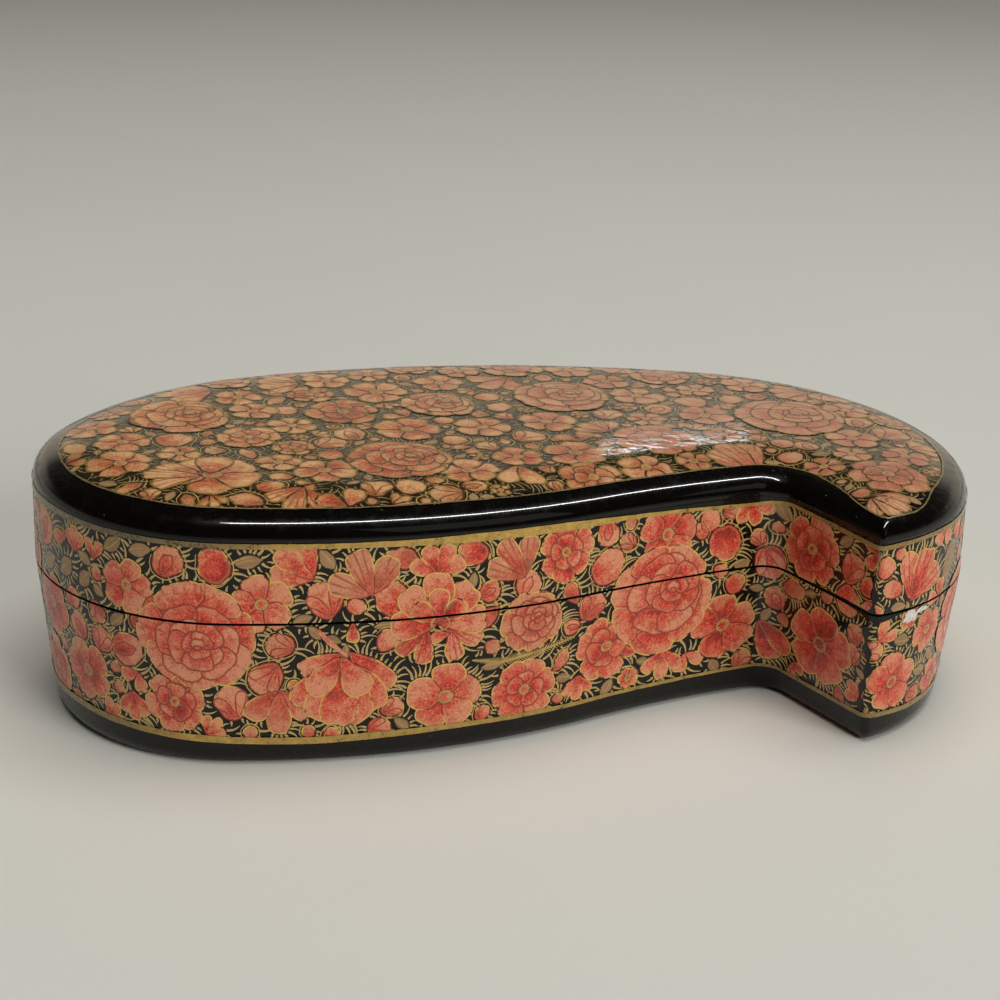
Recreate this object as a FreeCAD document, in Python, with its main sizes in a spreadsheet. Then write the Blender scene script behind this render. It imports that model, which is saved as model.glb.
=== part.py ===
import FreeCAD, Part
import math
import os

# Mango (paisley) shaped papier mache box with a lift-off lid, in millimetres, +Z up.
# The origin is the middle of the box's footprint, on the surface that it stands on.
# The beak is at the right (+X) and points to the front (-Y).

os.makedirs("parts", exist_ok=True)
doc = FreeCAD.newDocument("paisley_box")

# Driving dimensions: angles in degrees, shares of box_length, and all others in millimetres
SIZES = {
    # Outline at the seam, from the beak's tip round the back and the lobe to the inner corner
    "box_length": 150.0,
    "beak_heading_angle": 25.4,
    "beak_radius_share": 0.212, "beak_angle": 42.0,
    "tail_radius_share": 0.299, "tail_angle": 108.0,
    "back_radius_share": 1.01, "back_angle": 31.0,
    "lobe_back_radius_share": 0.365, "lobe_back_angle": 46.0,
    "lobe_front_radius_share": 0.219, "lobe_front_angle": 110.5,
    "belly_radius_share": 0.77, "belly_angle": 29.0,
    "hollow_radius_share": 1.13, "hollow_angle": 10.7,
    # Rounding of the beak's tip and of the inner corner at the foot, at the seam and on the lid's top
    "foot_tip_radius": 1.2, "seam_tip_radius": 1.6, "top_tip_radius": 0.7, "inside_tip_radius": 1.0,
    "foot_corner_radius": 2.6, "seam_corner_radius": 3.6, "top_corner_radius": 4.4,
    # Heights of the two walls at the middle of the box, and the saw cut between them
    "base_height": 23.4, "seam_gap": 0.25, "lid_wall_height": 12.0,
    # How far the lid's shoulder leans down to the beak, with the seam leaning in proportion
    "lean_angle": 1.1,
    # Walls: thickness at the seam, how far they come in at the foot and the shoulder, edge of the foot
    "wall_thickness": 3.8, "foot_inset": 2.0, "lid_inset": 0.3,
    "foot_edge_height": 2.4, "foot_edge_inset": 1.6,
    "floor_thickness": 3.4,
    # Collar strip: glued below the rim, standing above it with a running fit in the lid
    "collar_thickness": 1.8, "collar_seat": 7.5, "collar_rise": 5.2, "collar_fit": 0.35,
    "collar_lead": 0.8, "collar_lead_inset": 0.4,
    # Lid's top: round shoulder, then a low dome with a hollow underside
    "shoulder_height": 3.4, "shoulder_inset": 3.6, "shoulder_angle": 72.0,
    "dome_rise": 1.7, "dome_inset": 10.0, "crown_recess": 1.5, "crown_margin": 3.0,
    "overrun": 1.0,
}
SHOULDER_STEPS = 6
DOME_STEPS = 4
FOOT_STEPS = 4

sheet = doc.addObject("Spreadsheet::Sheet", "Sizes")
for row, (alias, value) in enumerate(SIZES.items(), start=1):
    sheet.set("A%d" % row, alias)
    sheet.set("B%d" % row, str(value))
    sheet.setAlias("B%d" % row, alias)
doc.recompute()


def size(alias):
    return float(getattr(sheet, alias))


def out_of_turn(heading):
    """The unit vector that points to the right of a heading, in plan."""
    return FreeCAD.Vector(math.sin(heading), -math.cos(heading), 0)


def walk_outline():
    """The arcs of the seam's outline as (centre, radius, first heading, last heading), from the
    beak's tip round to the inner corner. The box is on the left, and a negative radius turns right."""
    arcs = []
    place = FreeCAD.Vector(0, 0, 0)
    heading = math.radians(size("beak_heading_angle"))
    for name in ("beak", "tail", "back", "lobe_back", "lobe_front", "belly", "hollow"):
        side = -1 if name == "hollow" else 1
        radius = side * size(name + "_radius_share")
        turn = side * math.radians(size(name + "_angle"))
        centre = place - out_of_turn(heading) * radius
        arcs.append((centre, radius, heading, heading + turn))
        heading = heading + turn
        place = centre + out_of_turn(heading) * radius
    return arcs


def reach(arcs, quarters):
    """The outline's point where its heading has made a number of quarter turns."""
    wanted = quarters * math.pi / 2
    for centre, radius, first, last in arcs:
        if first <= wanted <= last:
            return centre + out_of_turn(wanted) * radius
    return arcs[0][0] + out_of_turn(arcs[0][2]) * arcs[0][1]


def fit_outline(arcs):
    """The arcs at their real size, with the middle of the outline at the origin."""
    right, back, left, front = [reach(arcs, quarters) for quarters in (1, 2, 3, 4)]
    middle = FreeCAD.Vector((left.x + right.x) / 2, (front.y + back.y) / 2, 0)
    scale = size("box_length") / (right.x - left.x)
    return [((centre - middle) * scale, radius * scale, first, last) for centre, radius, first, last in arcs]


ARCS = fit_outline(walk_outline())
TIP = ARCS[0][0] + out_of_turn(ARCS[0][2]) * ARCS[0][1]
CORNER = ARCS[-1][0] + out_of_turn(ARCS[-1][3]) * ARCS[-1][1]
ALONG = (TIP - CORNER).normalize()
INWARD = FreeCAD.Vector(-ALONG.y, ALONG.x, 0)


def meet(inset, arc, near):
    """Where the inner wall and an arc meet once both are moved in by an inset, nearest to a point."""
    centre, radius = arc[0], abs(arc[1] - inset)
    start = CORNER + INWARD * inset - centre
    middle = -start.dot(ALONG)
    half = math.sqrt(middle ** 2 - start.dot(start) + radius ** 2)
    points = [centre + start + ALONG * (middle + side * half) for side in (-1, 1)]
    return min(points, key=near.distanceToPoint)


def arc_edge(centre, radius, first, last):
    """An edge of signed radius between two headings."""
    points = [centre + out_of_turn(first + (last - first) * share) * radius for share in (0, 0.5, 1)]
    return Part.Arc(*points).toShape()


def round_edge(centre, radius, start, end):
    """A corner's rounding between two points of a circle."""
    middle = centre + ((start - centre) + (end - centre)).normalize() * radius
    return Part.Arc(start, middle, end).toShape()


def lid_heights():
    """Where the lid's wall starts and ends, at the middle of the box."""
    low = size("base_height") + size("seam_gap")
    return low, low + size("lid_wall_height")


def touch_tip(arc, inset, tip_radius):
    """The centre of the tip's rounding against an arc, and the heading where the two touch."""
    rounding = meet(inset + tip_radius, arc, TIP)
    outward = (rounding - arc[0]).normalize()
    return rounding, math.atan2(outward.x, -outward.y)


def arcs_from_tip(inset, tip_radius):
    """The centre of the tip's rounding, and the arcs that follow it. A deep inset leaves nothing of
    the beak's arc, and the tail's arc is then cut in two, so that the edges of all outlines match."""
    beak, tail = ARCS[:2]
    rounding, heading = touch_tip(beak, inset, tip_radius)
    if heading < beak[3]:
        return rounding, [(beak[0], beak[1], heading, beak[3])] + ARCS[1:]
    rounding, heading = touch_tip(tail, inset, tip_radius)
    middle = (heading + tail[3]) / 2
    halves = [(tail[0], tail[1], heading, middle), (tail[0], tail[1], middle, tail[3])]
    return rounding, halves + ARCS[2:]


def outline(inset, height, tip_radius, corner_radius, lift=0):
    """The paisley outline moved in by an inset, as a closed wire that leans as the box does at that
    height, then moved straight up by a lift. The inner corner's rounding grows with the inset, as the
    walls are parallel there."""
    tip_centre, arcs = arcs_from_tip(inset, tip_radius)
    corner_centre = meet(-corner_radius, ARCS[-1], CORNER)
    toward_corner = (corner_centre - ARCS[-1][0]).normalize()
    corner_heading = math.atan2(-toward_corner.x, toward_corner.y) + 2 * math.pi
    arcs[-1] = arcs[-1][:3] + (corner_heading,)
    edges = [arc_edge(centre, radius - inset, first, last) for centre, radius, first, last in arcs]
    wall_start = corner_centre + INWARD * (corner_radius + inset)
    wall_end = tip_centre - INWARD * tip_radius
    edges.append(round_edge(corner_centre, corner_radius + inset, edges[-1].Vertexes[-1].Point, wall_start))
    edges.append(Part.LineSegment(wall_start, wall_end).toShape())
    edges.append(round_edge(tip_centre, tip_radius, wall_end, edges[0].Vertexes[0].Point))
    wire = Part.Wire(edges)
    wire.rotate(FreeCAD.Vector(0, 0, 0), FreeCAD.Vector(0, 1, 0), size("lean_angle") * height / lid_heights()[1])
    wire.translate(FreeCAD.Vector(0, 0, height + lift))
    return wire


def add_outline(name, inset, height, tip_radius, corner_radius, lift=0):
    """An outline as an object of the document, for the lofts and extrusions."""
    section = doc.addObject("Part::Feature", name)
    section.Shape = outline(inset, height, tip_radius, corner_radius, lift)
    return section


def add_loft(name, sections, ruled):
    loft = doc.addObject("Part::Loft", name)
    loft.Sections = sections
    loft.Solid = True
    loft.Ruled = ruled
    return loft


def add_band(name, section, length):
    """A straight band raised from an outline, its height bound to the sheet."""
    band = doc.addObject("Part::Extrusion", name)
    band.Base = section
    band.DirMode = "Custom"
    band.Dir = FreeCAD.Vector(0, 0, 1)
    band.Solid = True
    band.setExpression("LengthFwd", length)
    return band


def add_cut(name, base, tool):
    cut = doc.addObject("Part::Cut", name)
    cut.Base = base
    cut.Tool = tool
    return cut


def add_fusion(name, shapes):
    fusion = doc.addObject("Part::MultiFuse", name)
    fusion.Shapes = shapes
    return fusion


def blend(first, second, share):
    return first + (second - first) * share


def base_outline(name, height, extra_inset=0):
    """The lower wall's outer outline at a height between the foot and the rim."""
    share = height / size("base_height")
    return add_outline(name, blend(size("foot_inset"), 0, share) + extra_inset, height,
                       blend(size("foot_tip_radius"), size("seam_tip_radius"), share),
                       blend(size("foot_corner_radius"), size("seam_corner_radius"), share))


def inside_outline(name, inset, height, lift=0):
    return add_outline(name, inset, height, size("inside_tip_radius"), size("seam_corner_radius"), lift)


def build_base_inside():
    """The room inside the lower wall: leaning below the collar, upright where the collar is glued."""
    seat = size("base_height") - size("collar_seat")
    lean = size("foot_inset") / seat
    low = -size("overrun")
    leaning = add_loft("base_room_low", [
        inside_outline("base_room_foot", size("wall_thickness") + lean * (seat - low), low),
        inside_outline("base_room_seat", size("wall_thickness"), seat)], True)
    upright = add_band("base_room_high", inside_outline("base_room_rim", size("wall_thickness"), seat),
                       "Sizes.collar_seat + Sizes.overrun")
    return leaning, upright


def build_base_wall(room_low, room_high):
    foot = []
    for step in range(FOOT_STEPS + 1):
        angle = math.pi / 2 * step / FOOT_STEPS
        foot.append(base_outline("foot_%d" % step, size("foot_edge_height") * (1 - math.cos(angle)),
                                 size("foot_edge_inset") * (1 - math.sin(angle))))
    wall = [base_outline("wall_foot", size("foot_edge_height")), base_outline("wall_rim", size("base_height"))]
    outer = add_fusion("base_outer", [add_loft("foot_edge", foot, True), add_loft("base_side", wall, True)])
    return add_cut("base_wall", outer, add_fusion("base_room", [room_low, room_high]))


def build_base_floor(room_low):
    """The floor board fills the foot of the lower room."""
    slab = add_band("floor_slab", base_outline("floor_outline", 0), "Sizes.floor_thickness")
    floor = doc.addObject("Part::MultiCommon", "base_floor")
    floor.Shapes = [room_low, slab]
    return floor


def build_lid_collar():
    """A strip of even width, glued to the upright part of the lower room, with its top edge eased."""
    seat = size("base_height") - size("collar_seat")
    width = size("collar_seat") + size("collar_rise")
    inset = size("wall_thickness")
    band = add_band("collar_band", inside_outline("collar_foot", inset, seat),
                    "Sizes.collar_seat + Sizes.collar_rise - Sizes.collar_lead")
    lead = add_loft("collar_lead_in", [
        inside_outline("collar_lead_low", inset, seat, width - size("collar_lead")),
        inside_outline("collar_lead_high", inset + size("collar_lead_inset"), seat, width)], True)
    room = add_band("collar_room",
                    inside_outline("collar_inside", inset + size("collar_thickness"), seat, -size("overrun")),
                    "Sizes.collar_seat + Sizes.collar_rise + 2 * Sizes.overrun")
    return add_cut("lid_collar", add_fusion("collar_outer", [band, lead]), room)


def build_lid_wall():
    low, high = lid_heights()
    outer = add_loft("lid_side", [
        add_outline("lid_rim", 0, low, size("seam_tip_radius"), size("seam_corner_radius")),
        add_outline("lid_shoulder", size("lid_inset"), high, size("top_tip_radius"), size("top_corner_radius"))],
        True)
    room = add_band("lid_room", inside_outline("lid_inside", size("wall_thickness") - size("collar_fit"),
                                               low - size("overrun")),
                    "Sizes.lid_wall_height + 2 * Sizes.overrun")
    return add_cut("lid_wall", outer, room)


def crown_section(name, inset, height):
    return add_outline(name, inset, height, size("top_tip_radius"), size("top_corner_radius"))


def build_lid_top():
    """The top's profile turns over the shoulder and runs on into the dome without a crease."""
    low = lid_heights()[1]
    sweep = math.radians(size("shoulder_angle"))
    profile = []
    for step in range(SHOULDER_STEPS + 1):
        angle = sweep * step / SHOULDER_STEPS
        profile.append((size("lid_inset") + size("shoulder_inset") * (1 - math.cos(angle)),
                        low + size("shoulder_height") * math.sin(angle)))
    edge_inset, edge_height = profile[-1]
    for step in range(1, DOME_STEPS + 1):
        share = step / DOME_STEPS
        profile.append((edge_inset + size("dome_inset") * share,
                        edge_height + size("dome_rise") * (1 - (1 - share) ** 2)))
    dome = add_loft("dome", [crown_section("crown_%d" % step, inset, height)
                             for step, (inset, height) in enumerate(profile)], True)
    recess = add_loft("crown_hollow", [
        crown_section("hollow_low", size("wall_thickness") + size("crown_margin"), low),
        crown_section("hollow_high", edge_inset + size("dome_inset"), low + size("crown_recess"))], True)
    return add_cut("lid_top", dome, recess)


room_low, room_high = build_base_inside()
NODES = [build_base_wall(room_low, room_high), build_base_floor(room_low), build_lid_collar(),
         build_lid_wall(), build_lid_top()]
doc.recompute()

for obj in doc.Objects:
    if "Invalid" in obj.State or "Error" in obj.State:
        raise RuntimeError("%s failed: %s" % (obj.Name, obj.State))
for node in NODES:
    node.Label = node.Name
    if node.Shape.isNull() or not node.Shape.isValid() or len(node.Shape.Solids) != 1:
        raise RuntimeError("%s is not one valid solid" % node.Name)
for node in NODES:
    node.Shape.exportStep("parts/%s.step" % node.Name)
    box = node.Shape.BoundBox
    print("%-12s volume %9.1f  x %.2f..%.2f  y %.2f..%.2f  z %.2f..%.2f" % (
        node.Name, node.Shape.Volume, box.XMin, box.XMax, box.YMin, box.YMax, box.ZMin, box.ZMax))
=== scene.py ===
import bpy
import numpy as np
from mathutils import Matrix, Vector
from mathutils.geometry import delaunay_2d_cdt


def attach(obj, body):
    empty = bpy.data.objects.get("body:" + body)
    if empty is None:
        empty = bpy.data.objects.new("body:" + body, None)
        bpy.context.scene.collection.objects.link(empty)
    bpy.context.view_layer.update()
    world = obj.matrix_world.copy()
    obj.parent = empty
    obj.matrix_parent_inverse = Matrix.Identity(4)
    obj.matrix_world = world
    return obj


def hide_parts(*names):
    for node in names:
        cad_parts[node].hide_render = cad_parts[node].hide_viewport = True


# Mango shaped papier mache box, painted with flowers under lacquer. Sizes below are in millimetres
# and turned into metres where meshes are made. The painting is laid out on two flat sheets: the wall,
# unrolled from the beak's tip (distance along the seam, height), and the lid's top, seen in plan.

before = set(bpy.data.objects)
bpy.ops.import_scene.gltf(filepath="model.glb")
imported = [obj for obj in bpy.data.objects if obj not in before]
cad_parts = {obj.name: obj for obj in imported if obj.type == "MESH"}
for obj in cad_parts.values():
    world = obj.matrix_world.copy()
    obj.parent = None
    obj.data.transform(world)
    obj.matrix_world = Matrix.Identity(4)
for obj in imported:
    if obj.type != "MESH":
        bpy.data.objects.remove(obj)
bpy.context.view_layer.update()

MM = 0.001

# Shape of the box, as in the frame
BOX_LENGTH = 150.0
BEAK_HEADING = 25.4
# Radius as a share of the length and turn in degrees, from the beak's tip round to the inner corner
ARC_SHARES = [(0.212, 42.0), (0.299, 108.0), (1.01, 31.0), (0.365, 46.0), (0.219, 110.5), (0.77, 29.0),
              (-1.13, -10.7)]
BASE_HEIGHT, SEAM_GAP, LID_WALL_HEIGHT = 23.4, 0.25, 12.0
LID_LOW = BASE_HEIGHT + SEAM_GAP
LID_HIGH = LID_LOW + LID_WALL_HEIGHT
LEAN = np.radians(1.1)
WALL_THICKNESS, FOOT_INSET, LID_INSET, COLLAR_FIT, COLLAR_SEAT = 3.8, 2.0, 0.3, 0.35, 7.5
FOOT_EDGE_HEIGHT, FOOT_EDGE_INSET = 2.4, 1.6
FOOT_TIP, SEAM_TIP, TOP_TIP, INSIDE_TIP = 1.2, 1.6, 0.7, 1.0
FOOT_CORNER, SEAM_CORNER, TOP_CORNER = 2.6, 3.6, 4.4
SHOULDER_HEIGHT, SHOULDER_INSET, SHOULDER_TURN = 3.4, 3.6, np.radians(72.0)
DOME_RISE, DOME_INSET, CROWN_RECESS, CROWN_MARGIN = 1.7, 10.0, 1.5, 3.0
CORNER_STRETCH, LINE_STRETCH, TIP_STRETCH = 7, 8, 9


def blend(first, second, share):
    return first + (second - first) * share


def out_of_turn(heading):
    """Unit vectors that point to the right of headings."""
    return np.stack([np.sin(heading), -np.cos(heading)], axis=-1)


def at_angle(angle):
    return np.stack([np.cos(angle), np.sin(angle)], axis=-1)


def fit_arcs():
    """The outline's arcs as (centre, radius, first heading, last heading), centred and at real size."""
    place, heading, arcs = np.zeros(2), np.radians(BEAK_HEADING), []
    for radius, turn in ARC_SHARES:
        turn = np.radians(turn)
        centre = place - out_of_turn(heading) * radius
        arcs.append((centre, radius, heading, heading + turn))
        heading += turn
        place = centre + out_of_turn(heading) * radius
    ends = []
    for quarter in (1, 2, 3, 4):
        wanted = quarter * np.pi / 2
        centre, radius = next((c, r) for c, r, first, last in arcs if first <= wanted <= last)
        ends.append(centre + out_of_turn(wanted) * radius)
    right, back, left, front = ends
    middle = np.array([(left[0] + right[0]) / 2, (front[1] + back[1]) / 2])
    scale = BOX_LENGTH / (right[0] - left[0])
    return [((centre - middle) * scale, radius * scale, first, last) for centre, radius, first, last in arcs]


ARCS = fit_arcs()
TIP = ARCS[0][0] + out_of_turn(ARCS[0][2]) * ARCS[0][1]
CORNER = ARCS[-1][0] + out_of_turn(ARCS[-1][3]) * ARCS[-1][1]
ALONG = (TIP - CORNER) / np.linalg.norm(TIP - CORNER)
INWARD = np.array([-ALONG[1], ALONG[0]])


def meet(inset, arc, near):
    """Where the inner wall and an arc meet once both are moved in by an inset."""
    centre, radius = arc[0], np.abs(arc[1] - inset)
    start = CORNER + np.asarray(inset, float)[..., None] * INWARD - centre
    middle = -start @ ALONG
    half = np.sqrt(middle ** 2 - (start ** 2).sum(-1) + radius ** 2)
    points = [centre + start + (middle + side * half)[..., None] * ALONG for side in (-1, 1)]
    nearer = np.linalg.norm(points[0] - near, axis=-1) < np.linalg.norm(points[1] - near, axis=-1)
    return np.where(nearer[..., None], points[0], points[1])


def round_between(centre, radius, begin, finish, share):
    """Points on a rounding between two angles, the short way round."""
    turn = (finish - begin + np.pi) % (2 * np.pi) - np.pi
    return centre + at_angle(begin + turn * share) * radius[..., None]


def outline_point(stretch, share, inset, tip_radius, corner_radius):
    """Points of the outline moved in by an inset. Stretches 0 to 6 are the arcs, and then come the
    inner corner's rounding, the inner wall and the tip's rounding."""
    stretch, share, inset, tip_radius, corner_radius = np.broadcast_arrays(
        stretch, share, inset, tip_radius, corner_radius)
    tip = meet(inset + tip_radius, ARCS[0], TIP)
    toward_tip = tip - ARCS[0][0]
    tip_heading = np.arctan2(toward_tip[..., 0], -toward_tip[..., 1])
    corner = meet(-corner_radius, ARCS[-1], CORNER)
    toward_corner = corner - ARCS[-1][0]
    corner_heading = np.arctan2(-toward_corner[..., 0], toward_corner[..., 1]) + 2 * np.pi
    result = np.zeros(stretch.shape + (2,))
    for place, (centre, radius, first, last) in enumerate(ARCS):
        first = tip_heading if place == 0 else first
        last = corner_heading if place == len(ARCS) - 1 else last
        on_arc = centre + out_of_turn(blend(first, last, share)) * (radius - inset)[..., None]
        result = np.where((stretch == place)[..., None], on_arc, result)
    inward = np.arctan2(INWARD[1], INWARD[0])
    begin = np.arctan2(toward_corner[..., 1], toward_corner[..., 0])
    on_corner = round_between(corner, corner_radius + inset, begin, inward, share)
    result = np.where((stretch == CORNER_STRETCH)[..., None], on_corner, result)
    start = corner + (corner_radius + inset)[..., None] * INWARD
    stop = tip - tip_radius[..., None] * INWARD
    on_line = start + (stop - start) * share[..., None]
    result = np.where((stretch == LINE_STRETCH)[..., None], on_line, result)
    on_tip = round_between(tip, tip_radius, inward + np.pi, tip_heading - np.pi / 2, share)
    return np.where((stretch == TIP_STRETCH)[..., None], on_tip, result)


def stretch_lengths():
    share = np.linspace(0, 1, 101)
    lengths = []
    for stretch in range(TIP_STRETCH + 1):
        points = outline_point(stretch, share, 0.0, SEAM_TIP, SEAM_CORNER)
        lengths.append(np.linalg.norm(np.diff(points, axis=0), axis=1).sum())
    return np.array(lengths)


LENGTHS = stretch_lengths()
ROUND = LENGTHS.sum()
STARTS = np.concatenate([[0], np.cumsum(LENGTHS)])
TIP_PLACE = STARTS[TIP_STRETCH] + LENGTHS[TIP_STRETCH] / 2
CORNER_FROM = STARTS[CORNER_STRETCH] - TIP_PLACE
CORNER_TO = STARTS[LINE_STRETCH] - TIP_PLACE
TIP_HALF = LENGTHS[TIP_STRETCH] / 2


def place_on_outline(along):
    """The stretch, and the share of it, at a distance along the seam to the right of the tip."""
    place = (np.asarray(along, float) + TIP_PLACE) % ROUND
    stretch = np.clip(np.searchsorted(STARTS, place, side="right") - 1, 0, TIP_STRETCH)
    return stretch, (place - STARTS[stretch]) / LENGTHS[stretch]


def leaned(plan, height):
    """Points in space for places in plan and heights, with the lean to the beak."""
    angle = LEAN * height / LID_HIGH
    return np.stack([plan[..., 0] * np.cos(angle), plan[..., 1], height - plan[..., 0] * np.sin(angle)], -1)


def wall_section(height):
    """Inset, tip radius and corner radius of the outer wall at a height."""
    low = height / BASE_HEIGHT
    high = np.clip((height - LID_LOW) / LID_WALL_HEIGHT, 0, 1)
    in_base = height < BASE_HEIGHT + SEAM_GAP / 2
    inset = np.where(in_base, FOOT_INSET * (1 - low), LID_INSET * high)
    edge = np.clip(1 - height / FOOT_EDGE_HEIGHT, 0, 1)
    inset = inset + FOOT_EDGE_INSET * (1 - np.sqrt(1 - edge ** 2))
    tip = np.where(in_base, blend(FOOT_TIP, SEAM_TIP, low), blend(SEAM_TIP, TOP_TIP, high))
    corner = np.where(in_base, blend(FOOT_CORNER, SEAM_CORNER, low), blend(SEAM_CORNER, TOP_CORNER, high))
    return inset, tip, corner


def wall_point(flat, lift):
    """Points in space for places on the wall's sheet, raised by a lift."""
    stretch, share = place_on_outline(flat[:, 0])
    inset, tip, corner = wall_section(flat[:, 1])
    return leaned(outline_point(stretch, share, inset - lift, tip + lift, corner - lift), flat[:, 1])


def top_inset(plan):
    """How far in from the lid's outline a place in plan lies."""
    rounding = meet(np.array(-TOP_CORNER), ARCS[-1], CORNER)
    away = plan - rounding
    ray = rounding - ARCS[-1][0]
    past_hollow = away @ np.array([ray[1], -ray[0]]) > 0
    beside_wall = away @ ALONG >= 0
    in_corner = past_hollow & ~beside_wall
    nearest = np.where(in_corner, np.linalg.norm(away, axis=-1) - TOP_CORNER, np.inf)
    nearest = np.where(beside_wall, (plan - CORNER) @ INWARD, nearest)
    for centre, radius, first, last in ARCS:
        away = (plan - centre) * np.sign(radius)
        heading = np.arctan2(away[..., 0], -away[..., 1])
        beside = (heading - min(first, last)) % (2 * np.pi) <= abs(last - first)
        if radius < 0:
            beside = beside & ~past_hollow
        distance = radius - np.sign(radius) * np.linalg.norm(away, axis=-1)
        nearest = np.where(beside, np.minimum(nearest, distance), nearest)
    return nearest


SHOULDER_EDGE = LID_INSET + SHOULDER_INSET * (1 - np.cos(SHOULDER_TURN))


def top_height(inset):
    """Height of the lid's top over an inset, before the lean."""
    turn = np.arccos(np.clip(1 - (inset - LID_INSET) / SHOULDER_INSET, np.cos(SHOULDER_TURN), 1))
    share = np.clip((inset - SHOULDER_EDGE) / DOME_INSET, 0, 1)
    return LID_HIGH + SHOULDER_HEIGHT * np.sin(turn) + DOME_RISE * (1 - (1 - share) ** 2)


def top_point(flat, lift):
    return leaned(flat, top_height(top_inset(flat)) + lift)


class Paint:
    """Flat pieces of paint on a sheet. Each corner has a place, a lift above the surface, and the marks
    that the materials read: along, across and edge (mm); seed, redness and greyness; stripes, gilding and
    freshness."""

    def __init__(self):
        self.corners, self.triangles, self.count = [], [], 0

    def add(self, places, lift, marks, triangles):
        corners = np.column_stack([places, np.broadcast_to(lift, len(places)), marks])
        self.corners.append(corners)
        self.triangles.append(triangles + self.count)
        self.count += len(corners)

    def joined(self):
        return np.concatenate(self.corners), np.concatenate(self.triangles)


def cut(corners, triangles, value):
    """The triangles cut along the line where a value at their corners is zero, as (side above, corners)
    and (side below). New corners are shared by the two sides."""
    signs = value[triangles] >= 0
    inside = signs.sum(1)
    whole_above, whole_below = triangles[inside == 3], triangles[inside == 0]
    parts = {True: [whole_above], False: [whole_below]}
    new_corners = [corners]
    count = len(corners)
    for lonely_above in (True, False):
        mixed = triangles[inside == (1 if lonely_above else 2)]
        if not len(mixed):
            continue
        lonely = (value[mixed] >= 0) == lonely_above
        turn = np.argmax(lonely, axis=1)
        rows = np.arange(len(mixed))
        a, b, c = [mixed[rows, (turn + step) % 3] for step in range(3)]
        edges = np.concatenate([np.stack([a, b], 1), np.stack([a, c], 1)])
        unique, index = np.unique(np.sort(edges, axis=1), axis=0, return_inverse=True)
        index = index.reshape(-1)
        first, second = unique[:, 0], unique[:, 1]
        share = value[first] / (value[first] - value[second])
        new_corners.append(corners[first] + (corners[second] - corners[first]) * share[:, None])
        ab, ac = index[:len(mixed)] + count, index[len(mixed):] + count
        count += len(unique)
        parts[lonely_above].append(np.stack([a, ab, ac], 1))
        parts[not lonely_above] += [np.stack([ab, b, c], 1), np.stack([ab, c, ac], 1)]
    return np.concatenate(new_corners), np.concatenate(parts[True]), np.concatenate(parts[False])


def keep_above(corners, triangles, value):
    corners, above, _ = cut(corners, triangles, value)
    return corners, above


def divide(corners, triangles, lines):
    """Cuts the triangles along upright lines of the sheet, and keeps both sides."""
    for line in lines:
        value = corners[:, 0] - line
        near = value[triangles]
        crossing = (near.min(1) < 0) & (near.max(1) > 0)
        if crossing.any():
            corners, above, below = cut(corners, triangles[crossing], value)
            triangles = np.concatenate([triangles[~crossing], above, below])
    return corners, triangles


def drop_unused(corners, triangles):
    used, index = np.unique(triangles.reshape(-1), return_inverse=True)
    return corners[used], index.reshape(-1, 3)


def new_object(name, points, faces, marks=None):
    mesh = bpy.data.meshes.new(name)
    mesh.vertices.add(len(points))
    mesh.vertices.foreach_set("co", (points * MM).astype(np.float32).reshape(-1))
    mesh.loops.add(faces.size)
    mesh.loops.foreach_set("vertex_index", faces.reshape(-1).astype(np.int32))
    mesh.polygons.add(len(faces))
    mesh.polygons.foreach_set("loop_start", np.arange(0, faces.size, 3, dtype=np.int32))
    mesh.polygons.foreach_set("use_smooth", np.ones(len(faces), bool))
    for mark, values in (marks or {}).items():
        layer = mesh.attributes.new(mark, "FLOAT_VECTOR", "POINT")
        layer.data.foreach_set("vector", values.astype(np.float32).reshape(-1))
    mesh.update(calc_edges=True)
    mesh.validate()
    piece = bpy.data.objects.new(name, mesh)
    bpy.context.scene.collection.objects.link(piece)
    return piece


def band(rows, count, closed=True):
    """Triangles between rows of corners. Each row is a closed ring, or an open line."""
    ring = np.arange(count if closed else count - 1)
    following = (ring + 1) % count
    triangles = []
    for outer in range(0, (rows - 1) * count, count):
        inner = outer + count
        triangles += [np.stack([outer + ring, outer + following, inner + ring], 1),
                      np.stack([inner + ring, outer + following, inner + following], 1)]
    return np.concatenate(triangles)


def disc(rows, count):
    """Triangles of a disc: rings of corners from its rim inwards, and then its middle."""
    ring = np.arange(count)
    heart = np.stack([ring, (ring + 1) % count, np.full(count, count)], 1) + (rows - 1) * count
    return np.concatenate([band(rows, count), heart])


def painted_object(name, corners, triangles, place, body, material):
    """One piece of paint in the frame, from corners on a sheet."""
    corners, triangles = drop_unused(corners, triangles)
    marks = {"petal": corners[:, 3:6], "tone": corners[:, 6:9], "style": corners[:, 9:12]}
    piece = new_object(name, place(corners[:, :2], corners[:, 2]), triangles, marks)
    piece.data.materials.append(material)
    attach(piece, body)


# Forms of the flowers: each is laid from the lowest petal to the topmost
PETAL_STEP = 0.0035
RIM_STEP, RING_STEP = 0.55, 1.7
PLAIN = (0.5, 0.3, 0.0, 0.0, 0.5, 0.0)


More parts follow.
